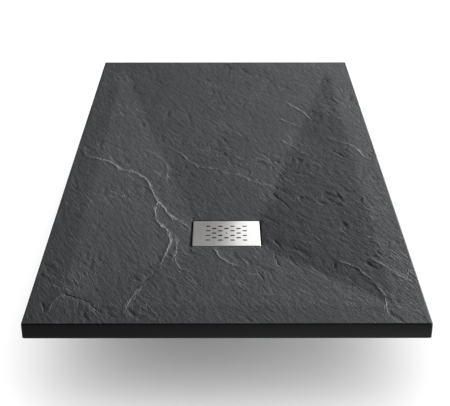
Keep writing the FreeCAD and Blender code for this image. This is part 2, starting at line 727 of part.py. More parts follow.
def make_trap_body():
    body = new_body("trap_body")
    bottom, top = "worked.trap_bottom", "worked.trap_flange_bottom"
    outside = new_sketch(body, "trap_section", "XZ_Plane")
    outline(outside, [
        ("0", bottom),
        ("worked.neck_radius - dims.trap_edge", bottom),
        ("worked.neck_radius", f"{bottom} + dims.trap_edge"),
        ("worked.neck_radius", top),
        ("0", top),
    ])
    turn(body, "trap_outside", outside)

    # stiffening ribs under the neck's flange
    gusset = new_sketch(body, "gusset_section", "XZ_Plane")
    neck = "worked.neck_radius"
    reach, lap = "dims.gusset_reach", "dims.gusset_lap"
    outline(gusset, [
        (f"{neck} - {lap}", top),
        (f"{neck} + {reach}", top),
        (f"{neck} + {reach}", f"{top} - {lap}"),
        (f"{neck} + {lap}", f"{top} - {reach}"),
        (f"{neck} - {lap}", f"{top} - {reach}"),
    ])
    one = rib(body, "gusset", gusset, "dims.gusset_thickness")
    around(body, "gussets", [one], GUSSETS)

    # the outlet's threaded spigot, towards the back of the tray
    spigot = new_sketch(body, "spigot_outline", "XZ_Plane")
    circle(spigot, "worked.thread_radius", up="worked.outlet_level")
    pad(body, "spigot", spigot, "worked.spigot_end", down=True)

    # the room inside the bowl, and its way out
    inside = new_sketch(body, "bowl_section", "XZ_Plane")
    outline(inside, [
        ("0", "worked.trap_floor"),
        ("worked.bowl_radius", "worked.trap_floor"),
        ("worked.bowl_radius", f"{top} + {OVERRUN}"),
        ("0", f"{top} + {OVERRUN}"),
    ])
    hollow(body, "bowl", inside)
    way = new_sketch(body, "outlet_way_outline", "XZ_Plane")
    circle(way, "worked.way_radius", up="worked.outlet_level")
    pocket(body, "outlet_way", way, f"worked.spigot_end + {OVERRUN}")
    return body


def make_dip_tube():
    shelf, top = "worked.shelf", "worked.collar_top"
    flare = "worked.funnel_radius - worked.tube_inside"
    groove_low = f"{shelf} + dims.seal_section"
    groove_high = f"{shelf} + 2 * dims.seal_section"
    body = lathe("dip_tube", [
        ("worked.tube_inside", "worked.tube_end"),
        ("worked.tube_outside", "worked.tube_end"),
        ("worked.tube_outside", f"{shelf} - ({flare}) + dims.thin_wall"),
        ("worked.funnel_radius - dims.thin_wall", shelf),
        ("worked.insert_radius", shelf),
        ("worked.insert_radius", groove_low),
        ("worked.groove_floor", groove_low),
        ("worked.groove_floor", groove_high),
        ("worked.insert_radius", groove_high),
        ("worked.insert_radius", top),
        ("worked.funnel_radius", top),
        ("worked.funnel_radius", f"{top} - dims.strainer_drop"),
        ("worked.tube_inside", f"{top} - dims.strainer_drop - ({flare})"),
    ])
    # ribs that hold the cup and stop on its rim
    section = new_sketch(body, "cup_rib_section", "XZ_Plane")
    low, high, stop = "worked.tube_end + dims.cup_rib_start", "worked.weir", "dims.cup_rib_stop"
    root = "worked.tube_outside - dims.thin_wall / 2"
    outline(section, [
        (root, low),
        ("worked.cup_inside - dims.rib_play", low),
        ("worked.cup_inside - dims.rib_play", high),
        ("worked.cup_radius", high),
        ("worked.cup_radius", f"{high} + {stop}"),
        (root, f"{high} + 2 * {stop}"),
    ])
    one = rib(body, "cup_rib", section, "dims.thin_wall")
    around(body, "cup_ribs", [one], CUP_RIBS)
    # a bar across the mouth, under the strainer's rivet, to lift the insert out by
    bar = new_sketch(body, "lift_bar_section", "XZ_Plane")
    bar_high = f"{top} - dims.strainer_drop - dims.knob_edge - dims.bar_play"
    bar_low = f"{bar_high} - dims.bar_height"
    slope_top = f"{top} - dims.strainer_drop"
    low_reach = f"worked.funnel_radius + dims.thin_wall / 2 - ({slope_top}) + ({bar_low})"
    high_reach = f"{low_reach} + dims.bar_height"
    outline(bar, [
        (f"-({low_reach})", bar_low),
        (low_reach, bar_low),
        (high_reach, bar_high),
        (f"-({high_reach})", bar_high),
    ])
    rib(body, "lift_bar", bar, "dims.bar_width")
    return body


def make_trap_cup():
    low, high = "worked.cup_bottom", "worked.weir"
    lathe("trap_cup", [
        ("0", low),
        ("worked.cup_radius - dims.cup_edge", low),
        ("worked.cup_radius", f"{low} + dims.cup_edge"),
        ("worked.cup_radius", high),
        ("worked.cup_inside", high),
        ("worked.cup_inside", "worked.cup_floor"),
        ("0", "worked.cup_floor"),
    ])


def make_insert_seal():
    """Round seal in the dip tube's groove."""
    seal = doc.addObject("Part::Torus", "insert_seal")
    seal.Label = "insert_seal"
    seal.setExpression("Radius1", "worked.groove_floor + dims.seal_section / 2")
    seal.setExpression("Radius2", "dims.seal_section / 2 - dims.seal_slack")
    seal.setExpression(".Placement.Base.y", "worked.drain_y")
    seal.setExpression(".Placement.Base.z", "worked.shelf + 1.5 * dims.seal_section")
    subparts.append(seal)
    return seal


def make_strainer():
    top = "worked.collar_top"
    skin = "dims.strainer_sheet"
    drop = "dims.strainer_drop"
    slack = "dims.strainer_play"
    floor_low = f"{top} - {drop}"
    mouth = f"worked.funnel_radius - {slack}"
    dish = f"{mouth} - dims.strainer_taper"
    body = lathe("hair_strainer", [
        ("0", floor_low),
        (dish, floor_low),
        (mouth, top),
        ("worked.funnel_radius + dims.strainer_rim", top),
        ("worked.funnel_radius + dims.strainer_rim", f"{top} + {skin}"),
        (f"{mouth} - {skin}", f"{top} + {skin}"),
        (f"{dish} - {skin}", f"{floor_low} + {skin}"),
        ("0", f"{floor_low} + {skin}"),
    ])
    # rings of holes: how many, and how far out as a share of the dish's floor
    rings = (("inner", 6, 0.34), ("middle", 11, 0.58), ("outer", 16, 0.82))
    for name, count, share in rings:
        sketch = new_sketch(body, f"{name}_hole_outline", level=f"{floor_low} + {skin}")
        circle(sketch, "dims.strainer_hole / 2", across=f"({dish}) * {share}")
        first = pocket(body, f"{name}_hole", sketch, f"2 * {skin}")
        around(body, f"{name}_holes", [first], count)
    centre = new_sketch(body, "knob_hole_outline", level=f"{floor_low} + {skin}")
    circle(centre, "dims.strainer_hole / 2")
    pocket(body, "knob_hole", centre, f"2 * {skin}")
    return body


def make_strainer_knob():
    """Knob riveted through the middle of the strainer."""
    low = "worked.collar_top - dims.strainer_drop"
    high = f"{low} + dims.strainer_sheet"
    stem, edge = "dims.strainer_hole / 2", "dims.knob_edge"
    head = "dims.knob_diameter / 2"
    crown = f"{high} + dims.knob_height"
    lathe("strainer_knob", [
        ("0", f"{low} - {edge}"),
        (f"{stem} + {edge}", f"{low} - {edge}"),
        (f"{stem} + {edge}", low),
        (stem, low),
        (stem, high),
        (f"{stem} + 2 * {edge}", high),
        (f"{stem} + {edge}", f"{high} + dims.knob_height / 3"),
        (head, f"{crown} - 2.5 * {edge}"),
        (head, f"{crown} - {edge}"),
        (f"{head} - {edge}", crown),
        ("0", crown),
    ])


# ---------------------------------------------------------------- outlet


def lay_along(part, axis, along):
    """Lay a sub-part, built upright at its own origin, along +X or +Y at the outlet."""
    turned = {"x": Rotation(Vector(0, 1, 0), 90), "y": Rotation(Vector(1, 0, 0), -90)}[axis]
    part.Placement = Placement(Vector(0, 0, 0), turned)
    across, forward = ("0", f"worked.drain_y + {along}")
    if axis == "x":
        across, forward = (along, "worked.drain_y + worked.bend_start + dims.bend_radius")
    part.setExpression(".Placement.Base.x", across)
    part.setExpression(".Placement.Base.y", forward)
    part.setExpression(".Placement.Base.z", "worked.outlet_level")


def ring_nut(label, lip_start, lip_radius, axis, along):
    """A ring nut round a thread that ends at 0, with its lip from lip_start on."""
    thread = "worked.thread_radius"
    outside = f"{thread} + dims.nut_wall"
    far, edge = f"{lip_start} + dims.nut_lip", "dims.nut_edge"
    body = lathe(label, [
        (thread, "-dims.nut_reach"),
        (f"{outside} - {edge}", "-dims.nut_reach"),
        (outside, f"{edge} - dims.nut_reach"),
        (outside, f"{far} - {edge}"),
        (f"{outside} - {edge}", far),
        (lip_radius, far),
        (lip_radius, lip_start),
        (thread, lip_start),
    ])
    grip = new_sketch(body, label + "_rib_section", "XZ_Plane")
    outline(grip, [
        (f"{outside} - {edge}", f"2 * {edge} - dims.nut_reach"),
        (f"{outside} + dims.nut_rib", f"3 * {edge} - dims.nut_reach"),
        (f"{outside} + dims.nut_rib", f"{far} - 3 * {edge}"),
        (f"{outside} - {edge}", f"{far} - 2 * {edge}"),
    ])
    one = rib(body, label + "_rib", grip, "dims.nut_rib_width")
    around(body, label + "_ribs", [one], NUT_RIBS)
    lay_along(body, axis, along)
    return body


def flat_ring(label, inner, outer, low, high, axis, along):
    body = lathe(label, [(inner, low), (outer, low), (outer, high), (inner, high)])
    lay_along(body, axis, along)
    return body


def make_elbow():
    """Swivelling elbow: collar, tube, bend towards +X, and the socket for the pipe."""
    body = new_body("outlet_elbow", along_y="worked.drain_y")
    body.setExpression(".Placement.Base.z", "worked.outlet_level")
    collar_end = "worked.collar_start + dims.collar_thickness"

    def disc(name, radius, start, length, towards_x=False, take=False):
        """A round pad or pocket that starts at start, along +Y or, in the outlet leg, +X."""
        if towards_x:
            sketch = new_sketch(body, name + "_outline", "YZ_Plane", level=start)
            circle(sketch, radius, across="worked.bend_start + dims.bend_radius")
            return pocket(body, name, sketch, length, up=True) if take else pad(body, name, sketch, length)
        sketch = new_sketch(body, name + "_outline", "XZ_Plane", level=f"-({start})")
        circle(sketch, radius)
        if take:
            return pocket(body, name, sketch, length)
        return pad(body, name, sketch, length, down=True)

    def bend_sketch(name, radius):
        """The quarter ring between the two legs, or the water way in it."""
        sketch = new_sketch(body, name + "_outline", "XZ_Plane", level="-worked.bend_start")
        circle(sketch, radius)
        axis_line(sketch, "dims.bend_radius", "0")
        return sketch

    disc("collar", "worked.thread_radius - dims.turning_play", "worked.collar_start", "dims.collar_thickness")
    disc("inlet_tube", "worked.tube_radius", collar_end, "dims.elbow_straight")
    turn(body, "bend", bend_sketch("bend", "worked.tube_radius"), axis="Axis0", angle=90)
    disc("outlet_leg", "worked.thread_radius", "dims.bend_radius", "dims.trap_wall + dims.socket_depth",
         towards_x=True)

    disc("inlet_way", "worked.way_radius", "worked.collar_start",
         "dims.collar_thickness + dims.elbow_straight", take=True)
    inner = bend_sketch("bend_way", "worked.way_radius")

    def quarter_way(feature):
        feature.ReferenceAxis = (inner, ["Axis0"])
        feature.Angle = 90

    cut(body, "bend_way", "PartDesign::Groove", inner, quarter_way)
    disc("outlet_way_in_leg", "worked.way_radius", "dims.bend_radius", f"dims.trap_wall + {OVERRUN}",
         towards_x=True, take=True)
    disc("pipe_socket", "worked.socket_radius", "dims.bend_radius + dims.trap_wall",
         f"dims.socket_depth + {OVERRUN}", towards_x=True, take=True)
    return body


def make_outlet():
    union_lip = "dims.union_seal_thickness + dims.collar_thickness + dims.end_play"
    snug = "worked.thread_radius - dims.washer_play"
    flat_ring("union_seal", "worked.way_radius", snug,
              "0", "dims.union_seal_thickness", "y", "worked.spigot_end")
    ring_nut("union_nut", union_lip, "worked.tube_radius + dims.turning_play", "y", "worked.spigot_end")
    make_elbow()

    pipe = "dims.pipe_diameter / 2"
    seal_bore = f"{pipe} + dims.seal_play"
    seal = lathe("pipe_seal", [
        (seal_bore, "0"),
        (f"{snug} - dims.seal_taper", "0"),
        (snug, "dims.seal_taper"),
        (snug, "dims.seal_length"),
        (seal_bore, "dims.seal_length"),
    ])
    lay_along(seal, "x", "worked.socket_end")
    lip = "dims.seal_length + dims.washer_thickness"
    washer_bore = f"{pipe} + dims.pipe_clearance"
    flat_ring("slip_washer", washer_bore, snug, "dims.seal_length", lip, "x", "worked.socket_end")
    ring_nut("pipe_nut", lip, f"{pipe} + dims.nut_hole_play", "x", "worked.socket_end")


# ---------------------------------------------------------------- build, check and write

make_tray()
make_cover()
make_cover_feet()
make_waste_flange()
make_gaskets()
make_clamp_screws()
make_screw_inserts()
make_trap_neck()
make_insert_socket()
make_trap_body()
make_dip_tube()
make_trap_cup()
make_insert_seal()
make_strainer()
make_strainer_knob()
make_outlet()
doc.recompute()

SEVERAL = {"clamp_screws": SCREWS, "screw_inserts": SCREWS}

for item in doc.Objects:
    if {"Invalid", "Error"} & set(item.State):
        raise RuntimeError(f"{item.Name} failed: {item.State}")
for part in subparts:
    shape = part.Shape
    if shape.isNull() or not shape.isValid():
        raise RuntimeError(f"{part.Label} has no valid shape")
    wanted = SEVERAL.get(part.Label, 1)
    if len(shape.Solids) != wanted:
        raise RuntimeError(f"{part.Label} has {len(shape.Solids)} solids, not {wanted}")

os.makedirs("parts", exist_ok=True)
for part in subparts:
    part.Shape.exportStep(f"parts/{part.Label}.step")
    box = part.Shape.BoundBox
    print(f"{part.Label:16s} {box.XMin:8.2f} {box.XMax:8.2f} {box.YMin:8.2f} {box.YMax:8.2f} "
          f"{box.ZMin:8.2f} {box.ZMax:8.2f}  {part.Shape.Volume:12.1f} mm3")
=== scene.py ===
"""Looks of the shower tray: slate relief, cast sides, steel cover, trap, and a plain white studio."""
import json
import math

import bmesh
import bpy
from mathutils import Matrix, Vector


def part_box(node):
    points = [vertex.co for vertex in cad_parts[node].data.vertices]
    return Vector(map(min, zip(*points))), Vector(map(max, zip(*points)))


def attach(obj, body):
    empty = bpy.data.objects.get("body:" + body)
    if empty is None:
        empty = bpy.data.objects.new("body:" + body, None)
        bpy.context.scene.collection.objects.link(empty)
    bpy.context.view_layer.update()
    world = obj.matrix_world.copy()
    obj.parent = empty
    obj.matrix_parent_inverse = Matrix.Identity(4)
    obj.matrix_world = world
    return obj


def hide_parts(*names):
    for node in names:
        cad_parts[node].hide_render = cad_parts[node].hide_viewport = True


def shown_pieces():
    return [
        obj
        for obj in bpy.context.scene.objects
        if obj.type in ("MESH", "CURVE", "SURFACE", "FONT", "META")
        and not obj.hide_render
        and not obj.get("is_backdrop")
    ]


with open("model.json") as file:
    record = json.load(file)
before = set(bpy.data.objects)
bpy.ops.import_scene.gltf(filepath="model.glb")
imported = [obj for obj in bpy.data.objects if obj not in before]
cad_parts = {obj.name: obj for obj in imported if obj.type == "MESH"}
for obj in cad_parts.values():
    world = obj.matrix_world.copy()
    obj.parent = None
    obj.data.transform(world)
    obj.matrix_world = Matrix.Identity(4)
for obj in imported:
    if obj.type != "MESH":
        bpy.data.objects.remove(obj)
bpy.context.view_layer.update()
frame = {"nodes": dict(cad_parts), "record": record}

MM = 0.001

# ---------------------------------------------------------------- sizes taken from the frame
TRAY_LOW, TRAY_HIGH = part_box("tray_body")
COVER_LOW, COVER_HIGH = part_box("drain_cover")
RECESS_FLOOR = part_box("flange_gasket")[0].z
POCKET_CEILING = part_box("trap_gasket")[1].z
DRAIN = (COVER_LOW + COVER_HIGH) / 2
RIM_LEVEL = TRAY_HIGH.z
FOOT_LEVEL = COVER_HIGH.z

# ---------------------------------------------------------------- the slab's own sizes
CORNER_RADIUS = 4 * MM
EDGE_RADIUS = 2.5 * MM
UNDERSIDE_CHAMFER = 2 * MM
EDGE_DROP = 0.7 * MM
TOP_EDGE = RIM_LEVEL - EDGE_DROP
FOOT_EDGE = FOOT_LEVEL - EDGE_DROP
RIM_SHARE_OF_WIDTH = 1 / 12
RIM_WIDTH = RIM_SHARE_OF_WIDTH * (TRAY_HIGH.x - TRAY_LOW.x)
COVER_GAP = 2 * MM
RECESS_CORNER = 5.5 * MM
RECESS_EDGE = 0.8 * MM
WASTE_BORE = 90 * MM
POCKET_RADIUS = 66 * MM
RECESS_HALF = Vector((COVER_HIGH.x - COVER_LOW.x, COVER_HIGH.y - COVER_LOW.y)) / 2 + Vector((COVER_GAP,) * 2)

# grid of the relief: close lines across the grain, wider ones along it
GRID_ACROSS = 3.1 * MM
GRID_ALONG = 5.2 * MM
ARC_STEPS = 4
NOT_ON_TOP = 0.0
HOLE_STEPS = 96

# ---------------------------------------------------------------- the photograph's view
CAMERA_PLACE = (-0.0068, -2.486, 1.121)
CAMERA_PITCH = math.radians(26.1)
CAMERA_TURN = math.radians(-0.1)
PHOTO_WIDTH = 450
FOCAL_PIXELS = 1028.7

# ---------------------------------------------------------------- veins and cracks of the stone
# Each line has its strength and the places that it runs through, in millimetres from the tray's middle,
# as they are seen from the camera at the rim's level.
VEINS = (
    (1.0, ((-383, 100), (-380, 40), (-370, 15), (-355, 3), (-330, -3), (-305, -22), (-290, -40), (-270, -67),
           (-250, -83), (-225, -97), (-210, -112), (-200, -135), (-190, -170), (-180, -210), (-170, -245),
           (-160, -265), (-150, -295), (-138, -322), (-120, -348), (-105, -370), (-90, -390), (-80, -407),
           (-66, -430), (-50, -455))),
    (1.0, ((-174, -215), (-169, -238), (-165, -262), (-168, -310), (-160, -360), (-150, -390),
           (-135, -405), (-127, -430), (-125, -465), (-132, -510), (-138, -550), (-150, -595))),
    (0.7, ((-168, -650), (-185, -675), (-193, -700), (-200, -735), (-207, -775))),
    (0.8, ((-120, -425), (-112, -450), (-110, -500), (-110, -540), (-103, -575), (-85, -597), (-60, -603))),
    (0.9, ((-38, -490), (-25, -505), (-15, -530), (0, -557), (10, -562), (28, -577))),
    (0.5, ((-113, -520), (-118, -545), (-116, -560))),
    (0.6, ((-250, 80), (-220, 60), (-195, 40), (-175, 5), (-160, -20), (-150, -60), (-150, -100),
           (-152, -150))),
    (0.7, ((-160, 90), (-140, 55), (-115, 25), (-100, -15), (-75, -45), (-50, -63), (-15, -73), (0, -90),
           (25, -105), (65, -142), (90, -160), (115, -175), (140, -190))),
    (0.5, ((-152, 175), (-135, 155), (-125, 130), (-110, 105))),
    (0.6, ((5, 205), (30, 180), (45, 145))),
    (0.6, ((0, 55), (20, 35), (35, 0), (50, -20))),
    (0.9, ((175, 435), (190, 400), (210, 370), (225, 335), (235, 300), (250, 260))),
    (0.7, ((150, 285), (180, 255), (210, 220))),
    (0.8, ((150, 120), (170, 95), (190, 70), (200, 50))),
    (0.4, ((160, -190), (200, -230), (230, -285))),
    (0.7, ((270, 150), (300, 120), (335, 95), (355, 55), (365, 0))),
    (0.6, ((355, 155), (365, 130), (385, 110))),
    (0.5, ((360, 245), (390, 210))),
    (0.5, ((335, -335), (345, -365))),
    (0.5, ((305, -430), (325, -445), (338, -470), (345, -500))),
    (0.8, ((308, -525), (315, -545), (335, -570), (350, -595), (370, -625), (395, -650))),
    (0.8, ((235, -545), (260, -565), (280, -580), (290, -610), (305, -632))),
    (0.7, ((305, -640), (315, -680), (318, -710), (315, -775))),
    (0.5, ((130, -662), (155, -678), (175, -695))),
    (0.5, ((365, -748), (385, -757))),
    (0.6, ((-330, -683), (-342, -700), (-350, -730), (-352, -760))),
    (0.4, ((-145, -600), (-125, -615), (-105, -630))),
    (0.4, ((-90, -610), (-75, -640), (-60, -655))),
    (0.4, ((-20, -620), (-5, -645), (5, -660))),
)
CRACKS = (
    (1.0, ((-345, -680), (-335, -687), (-300, -703), (-275, -725), (-260, -748), (-248, -770))),
    (0.8, ((-240, -765), (-225, -772), (-210, -776))),
    (0.8, ((-372, -720), (-365, -742), (-360, -760))),
    (0.7, ((-150, -600), (-163, -620), (-178, -645), (-190, -665))),
    (0.5, ((-390, -105), (-380, -145), (-370, -170))),
    (0.5, ((5, 20), (12, -30), (25, -80))),
    (0.8, ((105, -462), (110, -474), (117, -488))),
    (0.7, ((103, -520), (104, -545), (112, -570), (125, -590))),
    (0.7, ((135, -540), (143, -560), (160, -580))),
    (0.8, ((62, -590), (70, -612), (80, -632))),
    (0.5, ((-72, -620), (-60, -645), (-45, -670))),
    (0.5, ((270, -150), (295, -190))),
    (0.6, ((115, -220), (150, -300), (160, -320))),
    (0.5, ((200, -735), (225, -752), (250, -762))),
    (0.6, ((295, -560), (325, -590))),
    (0.5, ((-35, -120), (-20, -150), (-10, -165))),
    (0.6, ((280, 60), (295, 35), (315, 0))),
)
# A line at least STRAND_FROM strong has a fainter strand beside it, with STRAND_SHARE of its strength.
# The strand swings by STRAND_REACH millimetres, and its swing goes on by STRAND_SWING radians, across
# and along the tray, from point to point.
STRAND_FROM = 0.7
STRAND_SHARE = 0.7
STRAND_REACH = 5.5
STRAND_SWING = (1.7, 2.3)

# rounds in which a place seen at the rim's level is carried down to its slope
SIGHT_ROUNDS = 4

# how softly two slopes meet, as a share of their fall
VALLEY_BLEND = 0.05

# how a line's course is drawn out between its points
LINE_STEP = 2 * MM
DRIFT_SIZES = (70 * MM, 13 * MM)
DRIFT_SHARE = 0.9
LINE_PATCH = 30 * MM
LINE_PATCH_SPREAD = (-0.1, 1.9)
END_TAPER = 0.7
REACH_FADE = 1.6
VEIN_SEED = (3.1, 7.7, 1.9)
CRACK_SEED = (9.2, 2.4, 5.5)

# ---------------------------------------------------------------- grains: across, along and at times upwards
SWELL_GRAIN = (85 * MM, 150 * MM)
SCALE_GRAIN = (17 * MM, 40 * MM)
FLAKE_GRAIN = (9 * MM, 26 * MM)
SCAR_GRAIN = (34 * MM, 120 * MM)
SCAR_PATCH = (60 * MM, 60 * MM)
CLOUD_GRAIN = (150 * MM, 260 * MM)
STREAK_GRAIN = (7 * MM, 30 * MM)
PIT_GRAIN = (4.5 * MM, 9 * MM)
DUST_GRAIN = (1.6 * MM, 2.6 * MM)
SCRATCH_GRAIN = (22 * MM, 90 * MM)
SCRATCH_PATCH = (70 * MM, 70 * MM)
RAGGED_GRAIN = (6 * MM, 6 * MM)
SMEAR_GRAIN = (90 * MM, 90 * MM, 20 * MM)
MOULD_GRAIN = (2.2 * MM, 2.2 * MM)
FILLER_GRAIN = (120 * MM, 120 * MM)
SANDING_GRAIN = (1.5 * MM, 60 * MM)
AIR_PIT_GRAIN = (6 * MM, 6 * MM)
STAIN_GRAIN = (35 * MM, 35 * MM)
PLASTIC_GRAIN = (1.4 * MM, 1.4 * MM)
FLOW_GRAIN = (22 * MM, 60 * MM, 22 * MM)

# how much of the relief's depth each pattern cuts, and how fine the scars and scratches are
SWELL_SHARE, SCALE_SHARE, FLAKE_SHARE = 0.5, 0.5, 0.55
SCAR_SHARPNESS, SCRATCH_SHARPNESS = 22.0, 30.0

# ---------------------------------------------------------------- how deep a finish's bump goes
STONE_BUMP = 1.3 * MM
SIDE_BUMP = 0.05 * MM
FILLER_BUMP = 0.3 * MM
METAL_BUMP = 0.02 * MM
PLASTIC_BUMP = 0.04 * MM

# ---------------------------------------------------------------- colours of the finishes
SLATE = (0.059, 0.0605, 0.064)
VEIN = (0.225, 0.229, 0.236, 1.0)
# the near black of the cracks is painted shade in their splits
CRACK_SHADE = (0.012, 0.012, 0.013, 1.0)
CAST_SIDE = (0.0105, 0.0108, 0.0113)
FILLER = (0.055, 0.056, 0.058)

# tone at a pattern's lowest and highest value, as a share of the finish's colour
CLOUD_TONE, STREAK_TONE, PIT_TONE = (0.80, 1.20), (0.72, 1.28), (0.78, 1.22)
SCRATCH_LIGHT = 0.35
VEIN_COVER = (0.5, 1.15)
CRACK_SHADE_COVER = 0.85
SMEAR_TONE = (0.8, 1.2)
# the cast side's ramps across and downwards are painted light, and the darkening of its other sides is
# painted shade
PAINTED_LIGHT_ACROSS, PAINTED_LIGHT_DOWN, PAINTED_SHADE_OTHER_SIDES = (0.6, 1.7), (0.75, 1.4), (0.3, 1.0)
FILLER_TONE, SANDING_TONE, AIR_PIT_TONE = (0.75, 1.25), (0.9, 1.1), (1.0, 0.55)

# roughness and gloss of the finishes
STONE_ROUGHNESS, STONE_GLOSS = (0.52, 0.74), 0.06
SIDE_ROUGHNESS, SIDE_GLOSS = (0.42, 0.56), 0.08
DULL_OTHER_SIDES = (0.35, 0.0)
FILLER_ROUGHNESS, FILLER_GLOSS = (0.6, 0.8), 0.3
PLASTIC_SPREAD, PLASTIC_GLOSS = 0.08, 0.45

# widths of a full-strength vein and crack, the least half width, and how far their edges stray
VEIN_WIDTH = 1.7 * MM
CRACK_WIDTH = 1.5 * MM
LEAST_LINE = 0.35 * MM
RAGGED_BY = 1.6 * MM

# faces within this share of the cover's half sizes are the walls of its slots, which are darkened with
# painted shade
SLOT_SHADE_SHARE = 0.9
SLOT_SHADE_TONE = 0.12
SHARP_ANGLE = math.radians(35)

# ---------------------------------------------------------------- studio sizes, in metres and watts
FLOOR_LEVEL = -0.18
FLOOR_HALF = 14.0
FLOOR_WHITE = (0.86, 0.86, 0.86, 1)
FLOOR_FAR_FROM, FLOOR_FAR_TO = 2.2, 4.5
FLOOR_GLOW_NEAR, FLOOR_GLOW_FAR = 0.16, 0.85
CEILING_LEFT, CEILING_RIGHT = 0.12, 0.42
HORIZON_TOP, HORIZON_FULL = 0.16, 0.04
SENSOR_WIDTH = 36.0
SIGHT_END = 60.0
# each lamp: its place, its target, its size (across, upwards) and its power
OVERHEAD = (0.2, 1.2, 2.0), (0, 0.2, 0), (2.0, 2.0), 5
OVER_FLOOR = (0.8, 0.8, 1.2), (0.8, 0.8, 0), (7.0, 8.0), 230
LOW_RIGHT = (2.6, 0.85, 0.24), (0.2, 0.3, 0.05), (2.0, 0.14), 800
ABOVE_COVER = (0.20, DRAIN.y + 0.31, FOOT_LEVEL + 0.165)
COVER_SHEEN = ABOVE_COVER, (0.06, DRAIN.y, FOOT_LEVEL), (0.38, 0.24), 0.42


# ---------------------------------------------------------------- node trees
class Flow:
    """A value on its way through a node tree; sums and products of it make Math nodes."""

    def __init__(self, tree, socket):
        self.tree, self.socket = tree, socket

    def math(self, operation, *others):
        return node(self.tree, "ShaderNodeMath", [self, *others], operation=operation)

    def __add__(self, other):
        return self.math("ADD", other)

    def __sub__(self, other):
        return self.math("SUBTRACT", other)

    def __mul__(self, other):
        return self.math("MULTIPLY", other)

    def __truediv__(self, other):
        return self.math("DIVIDE", other)

    def step(self, start, end):
        """0 before start and 1 after end, smooth between them; start may be past end."""
        low, high, first, last = (start, end, 0.0, 1.0) if start < end else (end, start, 1.0, 0.0)
        return self.smooth(low, high, first, last)

    def smooth(self, low, high, first, last):
        """From first at low to last at high, smooth between them; a limit may be a flow too."""
        sources = [self, low, high, first, last]
        return node(self.tree, "ShaderNodeMapRange", sources, interpolation_type="SMOOTHSTEP")

    def spread(self, low, high):
        """A value from 0 to 1 stretched to run from low to high."""
        return node(self.tree, "ShaderNodeMapRange", [self, 0.0, 1.0, low, high])


def put(tree, socket, source):
    """A flow is linked to the socket; anything else is its plain value."""
    if isinstance(source, Flow):
        tree.links.new(source.socket, socket)
    elif source is not None:
        socket.default_value = source


def node(tree, kind, sources=(), output=0, **settings):
    """One node with its settings and sources, which go in by order or by name; the chosen output flows on."""
    made = tree.nodes.new(kind)
    for name, value in settings.items():
        setattr(made, name, value)
    named = sources.items() if isinstance(sources, dict) else enumerate(sources)
    for key, source in named:
        put(tree, made.inputs[key], source)
    return Flow(tree, made.outputs[output])


def vector(tree, operation, *sources, output=0):
    """One step of vector arithmetic."""
    return node(tree, "ShaderNodeVectorMath", sources, output, operation=operation)


def axis_of(tree, source, axis):
    """One axis of a vector: 0 for X, 1 for Y, 2 for Z."""
    return node(tree, "ShaderNodeSeparateXYZ", [source], axis)


def grain_place(tree, place, turn, across, along, level=None):
    """Coordinates for a grain: turned about Z, with one unit per grain width and grain length."""
    turned = node(tree, "ShaderNodeVectorRotate", {"Vector": place, "Angle": turn}, rotation_type="Z_AXIS")
    scale = (1 / across, 1 / along, 1 / (level or across))
    return vector(tree, "MULTIPLY", turned, scale)


def noise(tree, place, detail, roughness=0.5, distortion=0.0):
    """Plain noise of one unit's size, from 0 to 1."""
    sources = {"Vector": place, "Scale": 1.0, "Detail": detail, "Roughness": roughness}
    return node(tree, "ShaderNodeTexNoise", {**sources, "Distortion": distortion})


def crests(tree, place, sharpness):
    """Thin lines that follow the middle value of a noise: 1 on the line, 0 away from it."""
    off_middle = (noise(tree, place, 2.0, distortion=0.4) - 0.5).math("ABSOLUTE")
    return (off_middle * sharpness).step(1.0, 0.0)


# ---------------------------------------------------------------- the slab's mesh
def arc_offsets(radius):
    """How far grid lines lie inside a corner's side so that they cross on its arc."""
    return [radius * (1 - math.cos(math.radians(90) * k / ARC_STEPS)) for k in range(ARC_STEPS + 1)]


def grid_lines(half, corner, middle, recess_half, recess_corner, step):
    """Places of the grid lines along one axis, which fall on the arcs of both outlines, and the numbers of
    the recess's first and last line."""
    outer = [-half + offset for offset in arc_offsets(corner)]
    inner = [-recess_half + offset for offset in arc_offsets(recess_corner)]
    stops = outer + [middle + place for place in inner]
    stops += [middle - place for place in reversed(inner)] + [-place for place in reversed(outer)]
    places = [stops[0]]
    for here, there in zip(stops, stops[1:]):
        count = max(1, round((there - here) / step))
        places += [here + (there - here) * (k + 1) / count for k in range(count)]
    ends = [middle - recess_half, middle + recess_half]
    first, last = (min(range(len(places)), key=lambda at: abs(places[at] - end)) for end in ends)
    return places, first, last


def cell_corners(i, j, columns, rows, recess):
    """Which corners of a grid cell are kept: all four, three where an outline's arc crosses it, or none."""
    corners = [(i, j), (i + 1, j), (i + 1, j + 1), (i, j + 1)]
    from_sides = min(i, columns - 1 - i) + min(j, rows - 1 - j)
    if from_sides < ARC_STEPS - 1:
        return []
    if from_sides == ARC_STEPS - 1:
        right, back = i > columns / 2, j > rows / 2
        corners.pop({(0, 0): 0, (1, 0): 1, (1, 1): 2, (0, 1): 3}[right, back])
        return corners
    left, end, front, rear = recess
    if left <= i < end and front <= j < rear:
        from_sides = min(i - left, end - 1 - i) + min(j - front, rear - 1 - j)
        if from_sides > ARC_STEPS - 1:
            return []
        if from_sides == ARC_STEPS - 1:
            right, back = i - left > end - 1 - i, j - front > rear - 1 - j
            corners.pop({(0, 0): 2, (1, 0): 3, (1, 1): 0, (0, 1): 1}[right, back])
    return corners


